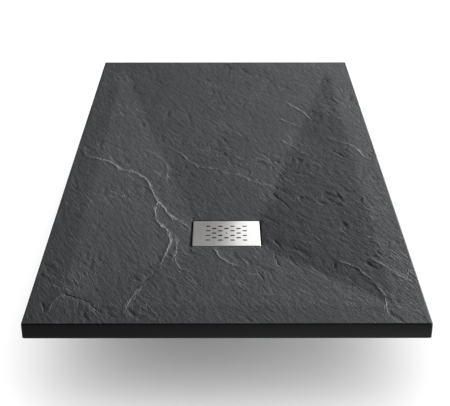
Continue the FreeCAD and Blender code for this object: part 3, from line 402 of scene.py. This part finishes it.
def carry_on(bm, edges, centre, core, stations):
    """Carries a closed loop of edges through stations, each a reach outwards from the core rectangle
    and a level."""
    edge_level = bm.verts.layers.float["edge_level"]
    for reach, level in stations:
        carried = {}
        for corner in dict.fromkeys(vertex for edge in edges for vertex in edge.verts):
            place = corner.co.xy - centre
            held = Vector(max(-half, min(half, part)) for half, part in zip(core, place))
            out = held + (place - held).normalized() * reach
            carried[corner] = bm.verts.new((*(centre + out), level))
            carried[corner][edge_level] = NOT_ON_TOP
        # each new face runs against the one beside it, so that both face the same way
        ends = [edge.link_loops[0].vert for edge in edges]
        pairs = [(edge.other_vert(end), end) for edge, end in zip(edges, ends)]
        for start, end in pairs:
            bm.faces.new((start, end, carried[end], carried[start]))
        edges = [bm.edges.get((carried[start], carried[end])) for start, end in pairs]
    return edges


def edge_arc(start_reach, level, radius, towards):
    """Stations of a quarter round that turns down from level, outwards or inwards by its radius."""
    turns = [math.radians(90) * (k + 1) / ARC_STEPS for k in range(ARC_STEPS)]
    return [(start_reach + towards * radius * math.sin(turn), level - radius * (1 - math.cos(turn)))
            for turn in turns]


def slab_mesh():
    """The slab as one closed mesh with a fine flat grid on top, which the relief tree then shapes."""
    half = TRAY_HIGH.xy - Vector((EDGE_RADIUS,) * 2)
    top_corner = CORNER_RADIUS - EDGE_RADIUS
    recess_half = RECESS_HALF + Vector((RECESS_EDGE,) * 2)
    recess_corner = RECESS_CORNER + RECESS_EDGE
    xs, left, right = grid_lines(half.x, top_corner, DRAIN.x, recess_half.x, recess_corner, GRID_ACROSS)
    ys, front, rear = grid_lines(half.y, top_corner, DRAIN.y, recess_half.y, recess_corner, GRID_ALONG)
    bm = bmesh.new()
    edge_gap = bm.verts.layers.float.new("edge_gap")
    edge_level = bm.verts.layers.float.new("edge_level")
    made = {}

    def corner(i, j):
        if (i, j) not in made:
            place = Vector((xs[i], ys[j]))
            beside_recess = max(abs(part) - size for part, size in zip(place - DRAIN.xy, recess_half))
            inside_edge = min(size - abs(part) for part, size in zip(place, half))
            vertex = bm.verts.new((*place, TOP_EDGE if inside_edge < beside_recess else FOOT_EDGE))
            vertex[edge_gap] = max(0.0, min(beside_recess, inside_edge))
            vertex[edge_level] = vertex.co.z
            made[i, j] = vertex
        return made[i, j]

    columns, rows = len(xs) - 1, len(ys) - 1
    for i in range(columns):
        for j in range(rows):
            corners = cell_corners(i, j, columns, rows, (left, right, front, rear))
            if corners:
                bm.faces.new([corner(*at) for at in corners])
    loops = [edge for edge in bm.edges if edge.is_boundary]
    middle_level = (TOP_EDGE + FOOT_EDGE) / 2
    near_drain = [edge for edge in loops if edge.verts[0].co.z < middle_level]
    outer = [edge for edge in loops if edge.verts[0].co.z > middle_level]

    middle = no_core = Vector((0, 0))
    core = TRAY_HIGH.xy - Vector((CORNER_RADIUS,) * 2)
    side = edge_arc(top_corner, TOP_EDGE, EDGE_RADIUS, 1)
    side += [(CORNER_RADIUS, TRAY_LOW.z + UNDERSIDE_CHAMFER), (CORNER_RADIUS - UNDERSIDE_CHAMFER, TRAY_LOW.z)]
    bottom = carry_on(bm, outer, middle, core, side)
    recess_core = RECESS_HALF - Vector((RECESS_CORNER,) * 2)
    wall = edge_arc(recess_corner, FOOT_EDGE, RECESS_EDGE, -1) + [(RECESS_CORNER, RECESS_FLOOR)]
    recess_foot = carry_on(bm, near_drain, DRAIN.xy, recess_core, wall)

    hole = bmesh.ops.create_circle(bm, segments=HOLE_STEPS, radius=WASTE_BORE / 2)["verts"]
    for vertex in hole:
        vertex.co += Vector((*DRAIN.xy, RECESS_FLOOR))
    rim = list(dict.fromkeys(edge for vertex in hole for edge in vertex.link_edges))
    bmesh.ops.triangle_fill(bm, edges=recess_foot + rim, use_beauty=True)
    bore = [(WASTE_BORE / 2, POCKET_CEILING), (POCKET_RADIUS, POCKET_CEILING), (POCKET_RADIUS, TRAY_LOW.z)]
    pocket = carry_on(bm, rim, DRAIN.xy, no_core, bore)
    bmesh.ops.triangle_fill(bm, edges=bottom + pocket, use_beauty=True)
    bmesh.ops.recalc_face_normals(bm, faces=bm.faces)
    mesh = bpy.data.meshes.new("slab")
    bm.to_mesh(mesh)
    bm.free()
    return mesh


# ---------------------------------------------------------------- the relief tree
def plain_level(x, y):
    """Level of the plain slopes and rim, before relief."""
    across = (abs(x - DRAIN.x) - RECESS_HALF.x) / (TRAY_HIGH.x - RIM_WIDTH - DRAIN.x - RECESS_HALF.x)
    behind = (y - DRAIN.y - RECESS_HALF.y) / (TRAY_HIGH.y - RIM_WIDTH - DRAIN.y - RECESS_HALF.y)
    before = (DRAIN.y - y - RECESS_HALF.y) / (DRAIN.y - TRAY_LOW.y - RIM_WIDTH - RECESS_HALF.y)
    return FOOT_LEVEL + (RIM_LEVEL - FOOT_LEVEL) * max(0.0, min(1.0, max(across, behind, before)))


def down_the_sight(x, y):
    """A place seen at the rim's level, carried on along the camera's line of sight down to the slope."""
    eye_x, eye_y, eye_level = CAMERA_PLACE
    place = (x, y)
    for _ in range(SIGHT_ROUNDS):
        share = (RIM_LEVEL - plain_level(*place)) / (eye_level - RIM_LEVEL)
        place = (x + (x - eye_x) * share, y + (y - eye_y) * share)
    return place


def with_strands(lines):
    """The lines, and beside each strong one a fainter strand that weaves over it."""
    swing_x, swing_y = STRAND_SWING
    strands = []
    for strength, places in lines:
        if strength >= STRAND_FROM:
            woven = [(x + STRAND_REACH * math.sin(swing_x * i), y + 2 * STRAND_REACH * math.cos(swing_y * i))
                     for i, (x, y) in enumerate(places)]
            strands.append((strength * STRAND_SHARE, woven))
    return (*lines, *strands)


def line_object(name, lines):
    """Stone lines as one curve object; each point's radius holds its line's strength."""
    data = bpy.data.curves.new(name, "CURVE")
    data.dimensions = "3D"
    for strength, places in with_strands(lines):
        spline = data.splines.new("POLY")
        spline.points.add(len(places) - 1)
        for point, (x, y) in zip(spline.points, places):
            point.co = (*down_the_sight(x * MM, y * MM), 0, 1)
            point.radius = strength
    made = bpy.data.objects.new(name, data)
    bpy.context.scene.collection.objects.link(made)
    return made


def stored_on(tree, geometry, selection, name, value, kind="FLOAT"):
    """The geometry with a value stored on its points under a name."""
    sources = [geometry, selection, name, value]
    return node(tree, "GeometryNodeStoreNamedAttribute", sources, data_type=kind)


def stored(tree, name, kind="FLOAT"):
    """A value that was stored on the points under a name."""
    return node(tree, "GeometryNodeInputNamedAttribute", {"Name": name}, data_type=kind)


def line_fields(tree, lines, place, seed, wander, reach):
    """Signed distance to the nearest stone line, how much of that line is left there, from 0 to 1, and
    the plain distance to its nearest point."""
    curve = node(tree, "GeometryNodeObjectInfo", {"Object": lines}, output="Geometry")
    fine = node(tree, "GeometryNodeResampleCurve", {"Curve": curve, "Length": LINE_STEP}, mode="LENGTH")
    here = node(tree, "GeometryNodeInputPosition")
    offset = (0.0, 0.0, 0.0)
    farthest = wander * DRIFT_SHARE
    for size in DRIFT_SIZES:
        at = vector(tree, "ADD", vector(tree, "MULTIPLY", here, (1 / size,) * 3), seed)
        drift = node(tree, "ShaderNodeTexNoise", {"Vector": at, "Scale": 1.0, "Detail": 2.0}, output="Color")
        drift = vector(tree, "SUBTRACT", drift, (0.5, 0.5, 0.5))
        level_only = node(tree, "ShaderNodeCombineXYZ", [farthest, farthest, 0.0])
        offset = vector(tree, "ADD", vector(tree, "MULTIPLY", drift, level_only), offset)
    fine = node(tree, "GeometryNodeSetPosition", {"Geometry": fine, "Offset": offset})
    along = node(tree, "GeometryNodeSplineParameter")
    ends = (along * along.math("MULTIPLY_ADD", -1.0, 1.0) * 4.0).step(0.0, END_TAPER)
    patchy = noise(tree, vector(tree, "MULTIPLY", here, (1 / LINE_PATCH,) * 3), 3.0)
    strength = ends * node(tree, "GeometryNodeInputRadius") * patchy.spread(*LINE_PATCH_SPREAD)
    fine = stored_on(tree, fine, None, "strength", strength)
    points = tree.nodes.new("GeometryNodeCurveToPoints")
    points.mode = "EVALUATED"
    put(tree, points.inputs["Curve"], fine)
    cloud = Flow(tree, points.outputs["Points"])
    tangent = Flow(tree, points.outputs["Tangent"])
    cloud = stored_on(tree, cloud, None, "run", tangent, kind="FLOAT_VECTOR")
    flat = vector(tree, "MULTIPLY", place, (1.0, 1.0, 0.0))
    sources = {"Geometry": cloud, "Sample Position": flat}
    nearest = node(tree, "GeometryNodeSampleNearest", sources, domain="POINT")

    def sampled(value, kind):
        return node(tree, "GeometryNodeSampleIndex", [cloud, value, nearest], data_type=kind, domain="POINT")

    at = sampled(node(tree, "GeometryNodeInputPosition"), "FLOAT_VECTOR")
    run = sampled(stored(tree, "run", "FLOAT_VECTOR"), "FLOAT_VECTOR")
    left_of_run = vector(tree, "CROSS_PRODUCT", run, (0.0, 0.0, 1.0))
    away = vector(tree, "SUBTRACT", flat, at)
    side = vector(tree, "DOT_PRODUCT", away, left_of_run, output="Value")
    gap = vector(tree, "LENGTH", away, output="Value")
    left = sampled(stored(tree, "strength"), "FLOAT").math("MAXIMUM", 0.0)
    return side, gap.smooth(reach, reach * REACH_FADE, 1.0, 0.0) * left, gap


RELIEF_INPUTS = {
    "Rim level": RIM_LEVEL, "Foot level": FOOT_LEVEL, "Rim width": RIM_WIDTH,
    "Relief depth": 0.85 * MM, "Scar depth": 0.5 * MM, "Grain turn": math.radians(-27),
    "Vein height": 0.5 * MM, "Crack depth": 0.6 * MM, "Line wander": 9 * MM, "Line reach": 4.5 * MM,
    "Crease blend": 0.25 * MM, "Edge fade": 5 * MM,
}


def relief_tree(finishes):
    """The tray's top: level rim, four slopes to the drain, split-slate relief, raised veins and cracks."""
    tree = bpy.data.node_groups.new("slate_relief", "GeometryNodeTree")
    tree.interface.new_socket(name="Geometry", in_out="INPUT", socket_type="NodeSocketGeometry")
    for name in RELIEF_INPUTS:
        tree.interface.new_socket(name=name, in_out="INPUT", socket_type="NodeSocketFloat")
    for name in ("Vein lines", "Crack lines"):
        tree.interface.new_socket(name=name, in_out="INPUT", socket_type="NodeSocketObject")
    tree.interface.new_socket(name="Geometry", in_out="OUTPUT", socket_type="NodeSocketGeometry")
    entry = tree.nodes.new("NodeGroupInput")
    size = {socket.name: Flow(tree, socket) for socket in entry.outputs}

    place = node(tree, "GeometryNodeInputPosition")
    x, y, z = (axis_of(tree, place, axis) for axis in range(3))
    edge_level = stored(tree, "edge_level")
    on_top = edge_level.math("GREATER_THAN", NOT_ON_TOP)
    fade = stored(tree, "edge_gap").smooth(0.0, size["Edge fade"], 0.0, 1.0)

    # four planes rise from the recess's sides to the inner line of the rim
    fall = size["Rim level"] - size["Foot level"]
    rise = []
    for outwards, foot, limit in (
        ((x - DRAIN.x).math("ABSOLUTE"), RECESS_HALF.x, TRAY_HIGH.x - DRAIN.x),
        (y - DRAIN.y, RECESS_HALF.y, TRAY_HIGH.y - DRAIN.y),
        ((y - DRAIN.y) * -1.0, RECESS_HALF.y, DRAIN.y - TRAY_LOW.y),
    ):
        run = (size["Rim width"] * -1.0) + (limit - foot)
        rise.append((outwards - foot) / run)
    slope = rise[0].math("SMOOTH_MAX", rise[1], VALLEY_BLEND).math("SMOOTH_MAX", rise[2], VALLEY_BLEND)
    slope = slope.math("MAXIMUM", 0.0)
    level = (slope * fall + size["Foot level"]).math("SMOOTH_MIN", size["Rim level"], size["Crease blend"])

    # split-slate relief: a broad swell, scales, flakes and short scars, all cut down from the plain level
    turn = size["Grain turn"]
    swell = noise(tree, grain_place(tree, place, turn, *SWELL_GRAIN), 1.0)
    scales = noise(tree, grain_place(tree, place, turn, *SCALE_GRAIN), 3.0, 0.55, 0.35)
    flakes = noise(tree, grain_place(tree, place, turn, *FLAKE_GRAIN), 1.0)
    scars = crests(tree, grain_place(tree, place, turn, *SCAR_GRAIN), SCAR_SHARPNESS)
    patch = noise(tree, grain_place(tree, place, turn, *SCAR_PATCH), 2.0).step(0.5, 0.62)
    cut = swell * SWELL_SHARE + scales * SCALE_SHARE + flakes * FLAKE_SHARE
    cut = (cut * -1.0) * size["Relief depth"] - scars * patch * size["Scar depth"]

    reach = size["Line reach"]
    (vein_side, vein_left, vein_gap), (crack_side, crack_left, crack_gap) = (
        line_fields(tree, size[lines], place, seed, size["Line wander"], reach)
        for lines, seed in (("Vein lines", VEIN_SEED), ("Crack lines", CRACK_SEED)))
    ridge = (vein_gap / reach).step(1.0, 0.0) * vein_left * size["Vein height"]
    split = (crack_gap / reach).step(1.0, 0.0) * crack_left * size["Crack depth"]
    shaped = (level + cut + ridge - split).math("MINIMUM", size["Rim level"])
    height = edge_level + (shaped - edge_level) * fade
    moved = node(tree, "ShaderNodeCombineXYZ", [x, y, height])

    body = size["Geometry"]
    for name, field in (("vein_side", vein_side), ("vein_left", vein_left * fade),
                        ("crack_side", crack_side), ("crack_left", crack_left * fade)):
        body = stored_on(tree, body, on_top, name, field)
    body = node(tree, "GeometryNodeSetPosition", {"Geometry": body, "Selection": on_top, "Position": moved})
    body = node(tree, "GeometryNodeRealizeInstances", [body])
    face_up = axis_of(tree, node(tree, "GeometryNodeInputNormal"), 2)
    under = z.math("LESS_THAN", POCKET_CEILING + UNDERSIDE_CHAMFER) * face_up.math("LESS_THAN", -0.5)
    body = node(tree, "GeometryNodeSetMaterial", [body, None, finishes["side"]])
    body = node(tree, "GeometryNodeSetMaterial", [body, under, finishes["underside"]])
    body = node(tree, "GeometryNodeSetMaterial", [body, on_top, finishes["relief"]])
    leave = tree.nodes.new("NodeGroupOutput")
    put(tree, leave.inputs[0], body)
    return tree


def set_inputs(modifier, values):
    """A modifier's inputs by name, set through each socket's identifier."""
    for item in modifier.node_group.interface.items_tree:
        if item.item_type == "SOCKET" and item.in_out == "INPUT" and item.name in values:
            modifier[item.identifier] = values[item.name]


def plain_copy(source, name):
    """The evaluated shape of an object as a plain mesh object; the source and its modifiers go."""
    graph = bpy.context.evaluated_depsgraph_get()
    mesh = bpy.data.meshes.new_from_object(source.evaluated_get(graph))
    mesh.name = name
    made = bpy.data.objects.new(name, mesh)
    bpy.context.scene.collection.objects.link(made)
    bpy.data.objects.remove(source)
    return made


def make_slab(finishes):
    """The cast slab, which stands for the plain CAD one."""
    source = bpy.data.objects.new("slab_source", slab_mesh())
    bpy.context.scene.collection.objects.link(source)
    veins = line_object("vein_lines", VEINS)
    cracks = line_object("crack_lines", CRACKS)
    modifier = source.modifiers.new("relief", "NODES")
    modifier.node_group = relief_tree(finishes)
    set_inputs(modifier, {**RELIEF_INPUTS, "Vein lines": veins, "Crack lines": cracks})
    slab = plain_copy(source, "cast_slab")
    for lines in (veins, cracks):
        bpy.data.objects.remove(lines)
    mesh = slab.data
    mesh.polygons.foreach_set("use_smooth", [True] * len(mesh.polygons))
    mesh.set_sharp_from_angle(angle=SHARP_ANGLE)
    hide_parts("tray_body")
    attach(slab, "tray")


# ---------------------------------------------------------------- finishes
def new_finish(name, **plain):
    """A material with one Principled shader, whose plain values are set on its own sockets."""
    material = bpy.data.materials.new(name)
    material.use_nodes = True
    tree = material.node_tree
    shader = tree.nodes["Principled BSDF"]
    for socket, value in plain.items():
        shader.inputs[socket.replace("_", " ")].default_value = value
    place = node(tree, "ShaderNodeTexCoord", output="Object")
    return material, tree, shader, place


def scaled_colour(tree, colour, amount):
    """A colour times a flow, as a vector that colour sockets take."""
    made = tree.nodes.new("ShaderNodeVectorMath")
    made.operation = "SCALE"
    put(tree, made.inputs[0], colour)
    put(tree, made.inputs["Scale"], amount)
    return Flow(tree, made.outputs[0])


def mixed(tree, amount, first, second):
    """First colour where amount is 0, second where it is 1."""
    made = tree.nodes.new("ShaderNodeMix")
    made.data_type = "RGBA"
    made.clamp_factor = True
    put(tree, made.inputs[0], amount)
    put(tree, made.inputs[6], first)
    put(tree, made.inputs[7], second)
    return Flow(tree, made.outputs[2])


def bump(tree, height, depth):
    """A surface normal from a height of 0 to 1 that stands for a depth in metres."""
    sources = {"Strength": 1.0, "Distance": depth, "Height": height}
    return node(tree, "ShaderNodeBump", sources, output="Normal")


def facing_along(tree, axis):
    """How far a face's outward direction points along an axis, from -1 to 1."""
    return axis_of(tree, node(tree, "ShaderNodeNewGeometry", output="Normal"), axis)


def slate_relief():
    """Matt slate: grain bump, cloudy tone, light short scratches, veins, and cracks darkened with painted
    shade.
    """
    material, tree, shader, place = new_finish("slate_relief_top", Specular_IOR_Level=STONE_GLOSS)
    turn = RELIEF_INPUTS["Grain turn"]
    clouds = noise(tree, grain_place(tree, place, turn, *CLOUD_GRAIN), 3.0, 0.55)
    streaks = noise(tree, grain_place(tree, place, turn, *STREAK_GRAIN), 4.0, 0.6, 0.3)
    pits = noise(tree, grain_place(tree, place, turn, *PIT_GRAIN), 4.0, 0.65, 0.5)
    dust = noise(tree, grain_place(tree, place, turn, *DUST_GRAIN), 2.0, 0.6)
    patch = noise(tree, grain_place(tree, place, turn, *SCRATCH_PATCH), 2.0).step(0.5, 0.64)
    scratch = crests(tree, grain_place(tree, place, turn, *SCRATCH_GRAIN), SCRATCH_SHARPNESS) * patch

    def line(name, width):
        """1 on the ragged course of the veins or cracks, which are as wide as their strength there."""
        side = node(tree, "ShaderNodeAttribute", output="Fac", attribute_name=name + "_side")
        left = node(tree, "ShaderNodeAttribute", output="Fac", attribute_name=name + "_left")
        ragged = (noise(tree, grain_place(tree, place, turn, *RAGGED_GRAIN), 3.0) - 0.5) * RAGGED_BY
        reach = left * width + LEAST_LINE
        return ((side + ragged).math("ABSOLUTE") / reach).step(1.0, 0.15) * left.math("MINIMUM", 1.0)

    vein = line("vein", VEIN_WIDTH)
    crack = line("crack", CRACK_WIDTH)
    shade = clouds.spread(*CLOUD_TONE) * streaks.spread(*STREAK_TONE) * pits.spread(*PIT_TONE)
    stone = scaled_colour(tree, SLATE, shade * (scratch * SCRATCH_LIGHT + 1.0))
    stone = mixed(tree, vein * streaks.spread(*VEIN_COVER), stone, VEIN)
    # painted shade: the cracks are darkened towards near black
    stone = mixed(tree, crack * CRACK_SHADE_COVER, stone, CRACK_SHADE)
    put(tree, shader.inputs["Base Color"], stone)
    put(tree, shader.inputs["Roughness"], pits.spread(*STONE_ROUGHNESS) - vein * 0.08)
    height = pits * 0.62 + streaks * 0.55 + dust * 0.16 + vein * 0.4 - crack * 0.9 - scratch * 0.25
    put(tree, shader.inputs["Normal"], bump(tree, height, STONE_BUMP))
    return material


def cast_side():
    """Smooth cast side, near black, with faint mould marks and painted light that lightens it downwards and
    to the right; the other sides are duller than the front and darkened with painted shade."""
    material, tree, shader, place = new_finish("cast_side", Specular_IOR_Level=SIDE_GLOSS)
    wide = noise(tree, grain_place(tree, place, 0.0, *SMEAR_GRAIN), 3.0)
    fine = noise(tree, grain_place(tree, place, 0.0, *MOULD_GRAIN), 3.0, 0.6)
    # painted light lightens the side to the right and downwards, and painted shade darkens every side but the
    # front
    across = axis_of(tree, place, 0).step(TRAY_LOW.x, TRAY_HIGH.x)
    down = axis_of(tree, place, 2).step(TRAY_HIGH.z, TRAY_LOW.z)
    in_front = facing_along(tree, 1).step(-0.3, -0.9)
    painted_light_and_shade = across.spread(*PAINTED_LIGHT_ACROSS) * down.spread(*PAINTED_LIGHT_DOWN) * in_front.spread(*PAINTED_SHADE_OTHER_SIDES)
    put(tree, shader.inputs["Base Color"], scaled_colour(tree, CAST_SIDE, wide.spread(*SMEAR_TONE) * painted_light_and_shade))
    rough = (wide * 0.5 + fine * 0.5).spread(*SIDE_ROUGHNESS) + in_front.spread(*DULL_OTHER_SIDES)
    put(tree, shader.inputs["Roughness"], rough)
    put(tree, shader.inputs["Normal"], bump(tree, fine, SIDE_BUMP))
    return material


def cast_underside():
    """Open cast underside: grey filler, sanded flat, with air pits."""
    material, tree, shader, place = new_finish("cast_underside", Specular_IOR_Level=FILLER_GLOSS)
    wide = noise(tree, grain_place(tree, place, 0.0, *FILLER_GRAIN), 4.0, 0.6)
    sanding = noise(tree, grain_place(tree, place, math.radians(8), *SANDING_GRAIN), 2.0)
    pits = noise(tree, grain_place(tree, place, 0.0, *AIR_PIT_GRAIN), 2.0).step(0.66, 0.74)
    shade = wide.spread(*FILLER_TONE) * sanding.spread(*SANDING_TONE) * pits.spread(*AIR_PIT_TONE)
    put(tree, shader.inputs["Base Color"], scaled_colour(tree, FILLER, shade))
    put(tree, shader.inputs["Roughness"], wide.spread(*FILLER_ROUGHNESS))
    put(tree, shader.inputs["Normal"], bump(tree, sanding * 0.15 - pits, FILLER_BUMP))
    return material


def metal(name, colour, roughness, grain, wear=0.12, slot_shade_half=None):
    """Bare metal with tool or brush marks: grain is (across, along) of one mark. Upright faces within the
    given half sizes of the drain's middle are the walls of the cover's slots, darkened with painted shade."""
    material, tree, shader, place = new_finish(name, Metallic=1.0)
    marks = noise(tree, grain_place(tree, place, 0.0, *grain), 4.0, 0.65)
    wide = noise(tree, grain_place(tree, place, 0.0, *STAIN_GRAIN), 3.0)
    tone = marks.spread(1 - wear, 1 + wear)
    # painted shade: the upright walls of the cover's slots are darkened
    if slot_shade_half:
        cut = facing_along(tree, 2).math("ABSOLUTE").math("LESS_THAN", 0.5)
        for axis in range(2):
            off_middle = (axis_of(tree, place, axis) - DRAIN[axis]).math("ABSOLUTE")
            cut = cut * off_middle.math("LESS_THAN", slot_shade_half[axis])
        tone = tone * cut.spread(1.0, SLOT_SHADE_TONE)
    put(tree, shader.inputs["Base Color"], scaled_colour(tree, colour, tone))
    put(tree, shader.inputs["Roughness"], marks * 0.14 + wide * 0.06 + (roughness - 0.1))
    put(tree, shader.inputs["Normal"], bump(tree, marks, METAL_BUMP))
    return material


def moulded(name, colour, roughness, spread=0.1):
    """Moulded plastic or rubber: fine even grain, flow streaks in tone and gloss."""
    material, tree, shader, place = new_finish(name, Specular_IOR_Level=PLASTIC_GLOSS)
    fine = noise(tree, grain_place(tree, place, 0.0, *PLASTIC_GRAIN), 3.0, 0.6)
    wide = noise(tree, grain_place(tree, place, math.radians(20), *FLOW_GRAIN), 3.0, 0.5, 0.6)
    tone = (wide * 0.7 + fine * 0.3).spread(1 - spread, 1 + spread)
    rough = (wide * 0.6 + fine * 0.4).spread(roughness - PLASTIC_SPREAD, roughness + PLASTIC_SPREAD)
    put(tree, shader.inputs["Base Color"], scaled_colour(tree, colour, tone))
    put(tree, shader.inputs["Roughness"], rough)
    put(tree, shader.inputs["Normal"], bump(tree, fine, PLASTIC_BUMP))
    return material


def dress_nodes():
    """Every carried-over CAD node gets the finish of its slot."""
    slots_half = (COVER_HIGH - COVER_LOW).xy / 2 * SLOT_SHADE_SHARE
    finishes = {
        "brushed_stainless": metal("brushed_stainless", (0.66, 0.65, 0.635), 0.30, (0.7 * MM, 45 * MM),
                                   slot_shade_half=slots_half),
        "polished_stainless": metal("pressed_stainless", (0.68, 0.67, 0.66), 0.20, (3 * MM, 3 * MM),
                                    wear=0.06),
        "screw_stainless": metal("screw_stainless", (0.6, 0.6, 0.61), 0.26, (0.4 * MM, 0.4 * MM)),
        "brass": metal("turned_brass", (0.76, 0.56, 0.27), 0.28, (0.5 * MM, 0.5 * MM)),
        "black_rubber": moulded("black_rubber", (0.022, 0.022, 0.023), 0.62),
        "grey_polypropylene": moulded("grey_polypropylene", (0.31, 0.32, 0.33), 0.42),
        "dark_polypropylene": moulded("dark_polypropylene", (0.055, 0.056, 0.06), 0.45),
        "white_polypropylene": moulded("white_polypropylene", (0.76, 0.76, 0.74), 0.38, spread=0.05),
    }
    for subpart in frame["record"]["subparts"]:
        finish = finishes.get(subpart["material_slot"])
        if finish:
            for slot in frame["nodes"][subpart["node"]].material_slots:
                slot.material = finish


# ---------------------------------------------------------------- studio
def lamp(name, place, target, size, power):
    """A soft rectangular lamp turned to its target."""
    data = bpy.data.lights.new(name, "AREA")
    data.shape = "RECTANGLE"
    data.size, data.size_y = size
    data.energy = power
    made = bpy.data.objects.new(name, data)
    bpy.context.scene.collection.objects.link(made)
    made.location = place
    made.rotation_mode = "QUATERNION"
    made.rotation_quaternion = (Vector(target) - Vector(place)).to_track_quat("-Z", "Y")
    return made


def background_rays(tree):
    """Two flows, each 1 for its rays: the straight ones to the background, and those off gloss or through
    glass."""
    path = tree.nodes.new("ShaderNodeLightPath")
    kinds = ("Camera", "Glossy", "Transmission")
    camera, gloss, glass = (Flow(tree, path.outputs[f"Is {kind} Ray"]) for kind in kinds)
    return camera, gloss.math("MAXIMUM", glass)


def make_floor():
    """A white floor that keeps the tray's shadow and is clear from below."""
    mesh = bpy.data.meshes.new("studio_floor")
    signs = ((-1, -1), (1, -1), (1, 1), (-1, 1))
    corners = [(sx * FLOOR_HALF, sy * FLOOR_HALF, FLOOR_LEVEL) for sx, sy in signs]
    mesh.from_pydata(corners, [], [(0, 1, 2, 3)])
    floor = bpy.data.objects.new("studio_floor", mesh)
    bpy.context.scene.collection.objects.link(floor)
    material = bpy.data.materials.new("studio_floor")
    material.use_nodes = True
    tree = material.node_tree
    tree.nodes.clear()
    white = node(tree, "ShaderNodeBsdfDiffuse", {"Color": FLOOR_WHITE})
    straight, reflected = background_rays(tree)
    place = node(tree, "ShaderNodeTexCoord", output="Object")
    far_off = vector(tree, "LENGTH", place, output="Value").step(FLOOR_FAR_FROM, FLOOR_FAR_TO)
    seen = straight.math("MAXIMUM", reflected) * far_off.spread(FLOOR_GLOW_NEAR, FLOOR_GLOW_FAR)
    glow = node(tree, "ShaderNodeEmission", {"Color": (1, 1, 1, 1), "Strength": seen})
    lit = node(tree, "ShaderNodeAddShader", [white, glow])
    back = node(tree, "ShaderNodeNewGeometry", output="Backfacing")
    clear = node(tree, "ShaderNodeBsdfTransparent")
    whole = node(tree, "ShaderNodeMixShader", [back, lit, clear])
    leave = tree.nodes.new("ShaderNodeOutputMaterial")
    put(tree, leave.inputs["Surface"], whole)
    mesh.materials.append(material)
    floor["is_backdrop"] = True
    return floor


def make_world():
    """A white studio, seen straight or mirrored near the horizon; its light is that of a grey ceiling,
    which is darker on the left."""
    world = bpy.data.worlds.new("studio")
    bpy.context.scene.world = world
    world.use_nodes = True
    tree = world.node_tree
    tree.nodes.clear()
    way = node(tree, "ShaderNodeTexCoord", output="Generated")
    glow = axis_of(tree, way, 0).step(-0.3, 1.0).spread(CEILING_LEFT, CEILING_RIGHT)
    horizon = axis_of(tree, way, 2).step(HORIZON_TOP, HORIZON_FULL)
    straight, reflected = background_rays(tree)
    strength = glow.math("MAXIMUM", straight).math("MAXIMUM", reflected * horizon)
    light = node(tree, "ShaderNodeBackground", {"Color": (1, 1, 1, 1), "Strength": strength})
    leave = tree.nodes.new("ShaderNodeOutputWorld")
    put(tree, leave.inputs["Surface"], light)


def shine_only_on(lamp_object, pieces):
    """The lamp lights these pieces and nothing else."""
    lit = bpy.data.collections.new("lit_by_" + lamp_object.name)
    for piece in pieces:
        lit.objects.link(piece)
    lamp_object.light_linking.receiver_collection = lit


def make_lamps(floor):
    """A weak lamp overhead, a broad one for the floor's white, a low one on the right for the relief, and
    a sheen over the cover."""
    lamp("overhead", *OVERHEAD)
    over_floor = lamp("over_floor", *OVER_FLOOR)
    over_floor.visible_camera = False
    shine_only_on(over_floor, [floor])
    shine_only_on(lamp("low_right", *LOW_RIGHT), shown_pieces())
    sheen = lamp("cover_sheen", *COVER_SHEEN)
    sheen.visible_diffuse = False
    shine_only_on(sheen, [frame["nodes"]["drain_cover"]])


def make_camera():
    """The photograph's view."""
    data = bpy.data.cameras.new("camera")
    data.sensor_width = SENSOR_WIDTH
    data.lens = FOCAL_PIXELS / PHOTO_WIDTH * data.sensor_width
    data.clip_end = SIGHT_END
    camera = bpy.data.objects.new("camera", data)
    bpy.context.scene.collection.objects.link(camera)
    camera.location = CAMERA_PLACE
    camera.rotation_euler = (math.radians(90) - CAMERA_PITCH, 0, CAMERA_TURN)
    bpy.context.scene.camera = camera


def main():
    bpy.context.scene.view_settings.view_transform = "Standard"
    make_slab({"relief": slate_relief(), "side": cast_side(), "underside": cast_underside()})
    dress_nodes()
    floor = make_floor()
    make_world()
    make_lamps(floor)
    make_camera()


main()
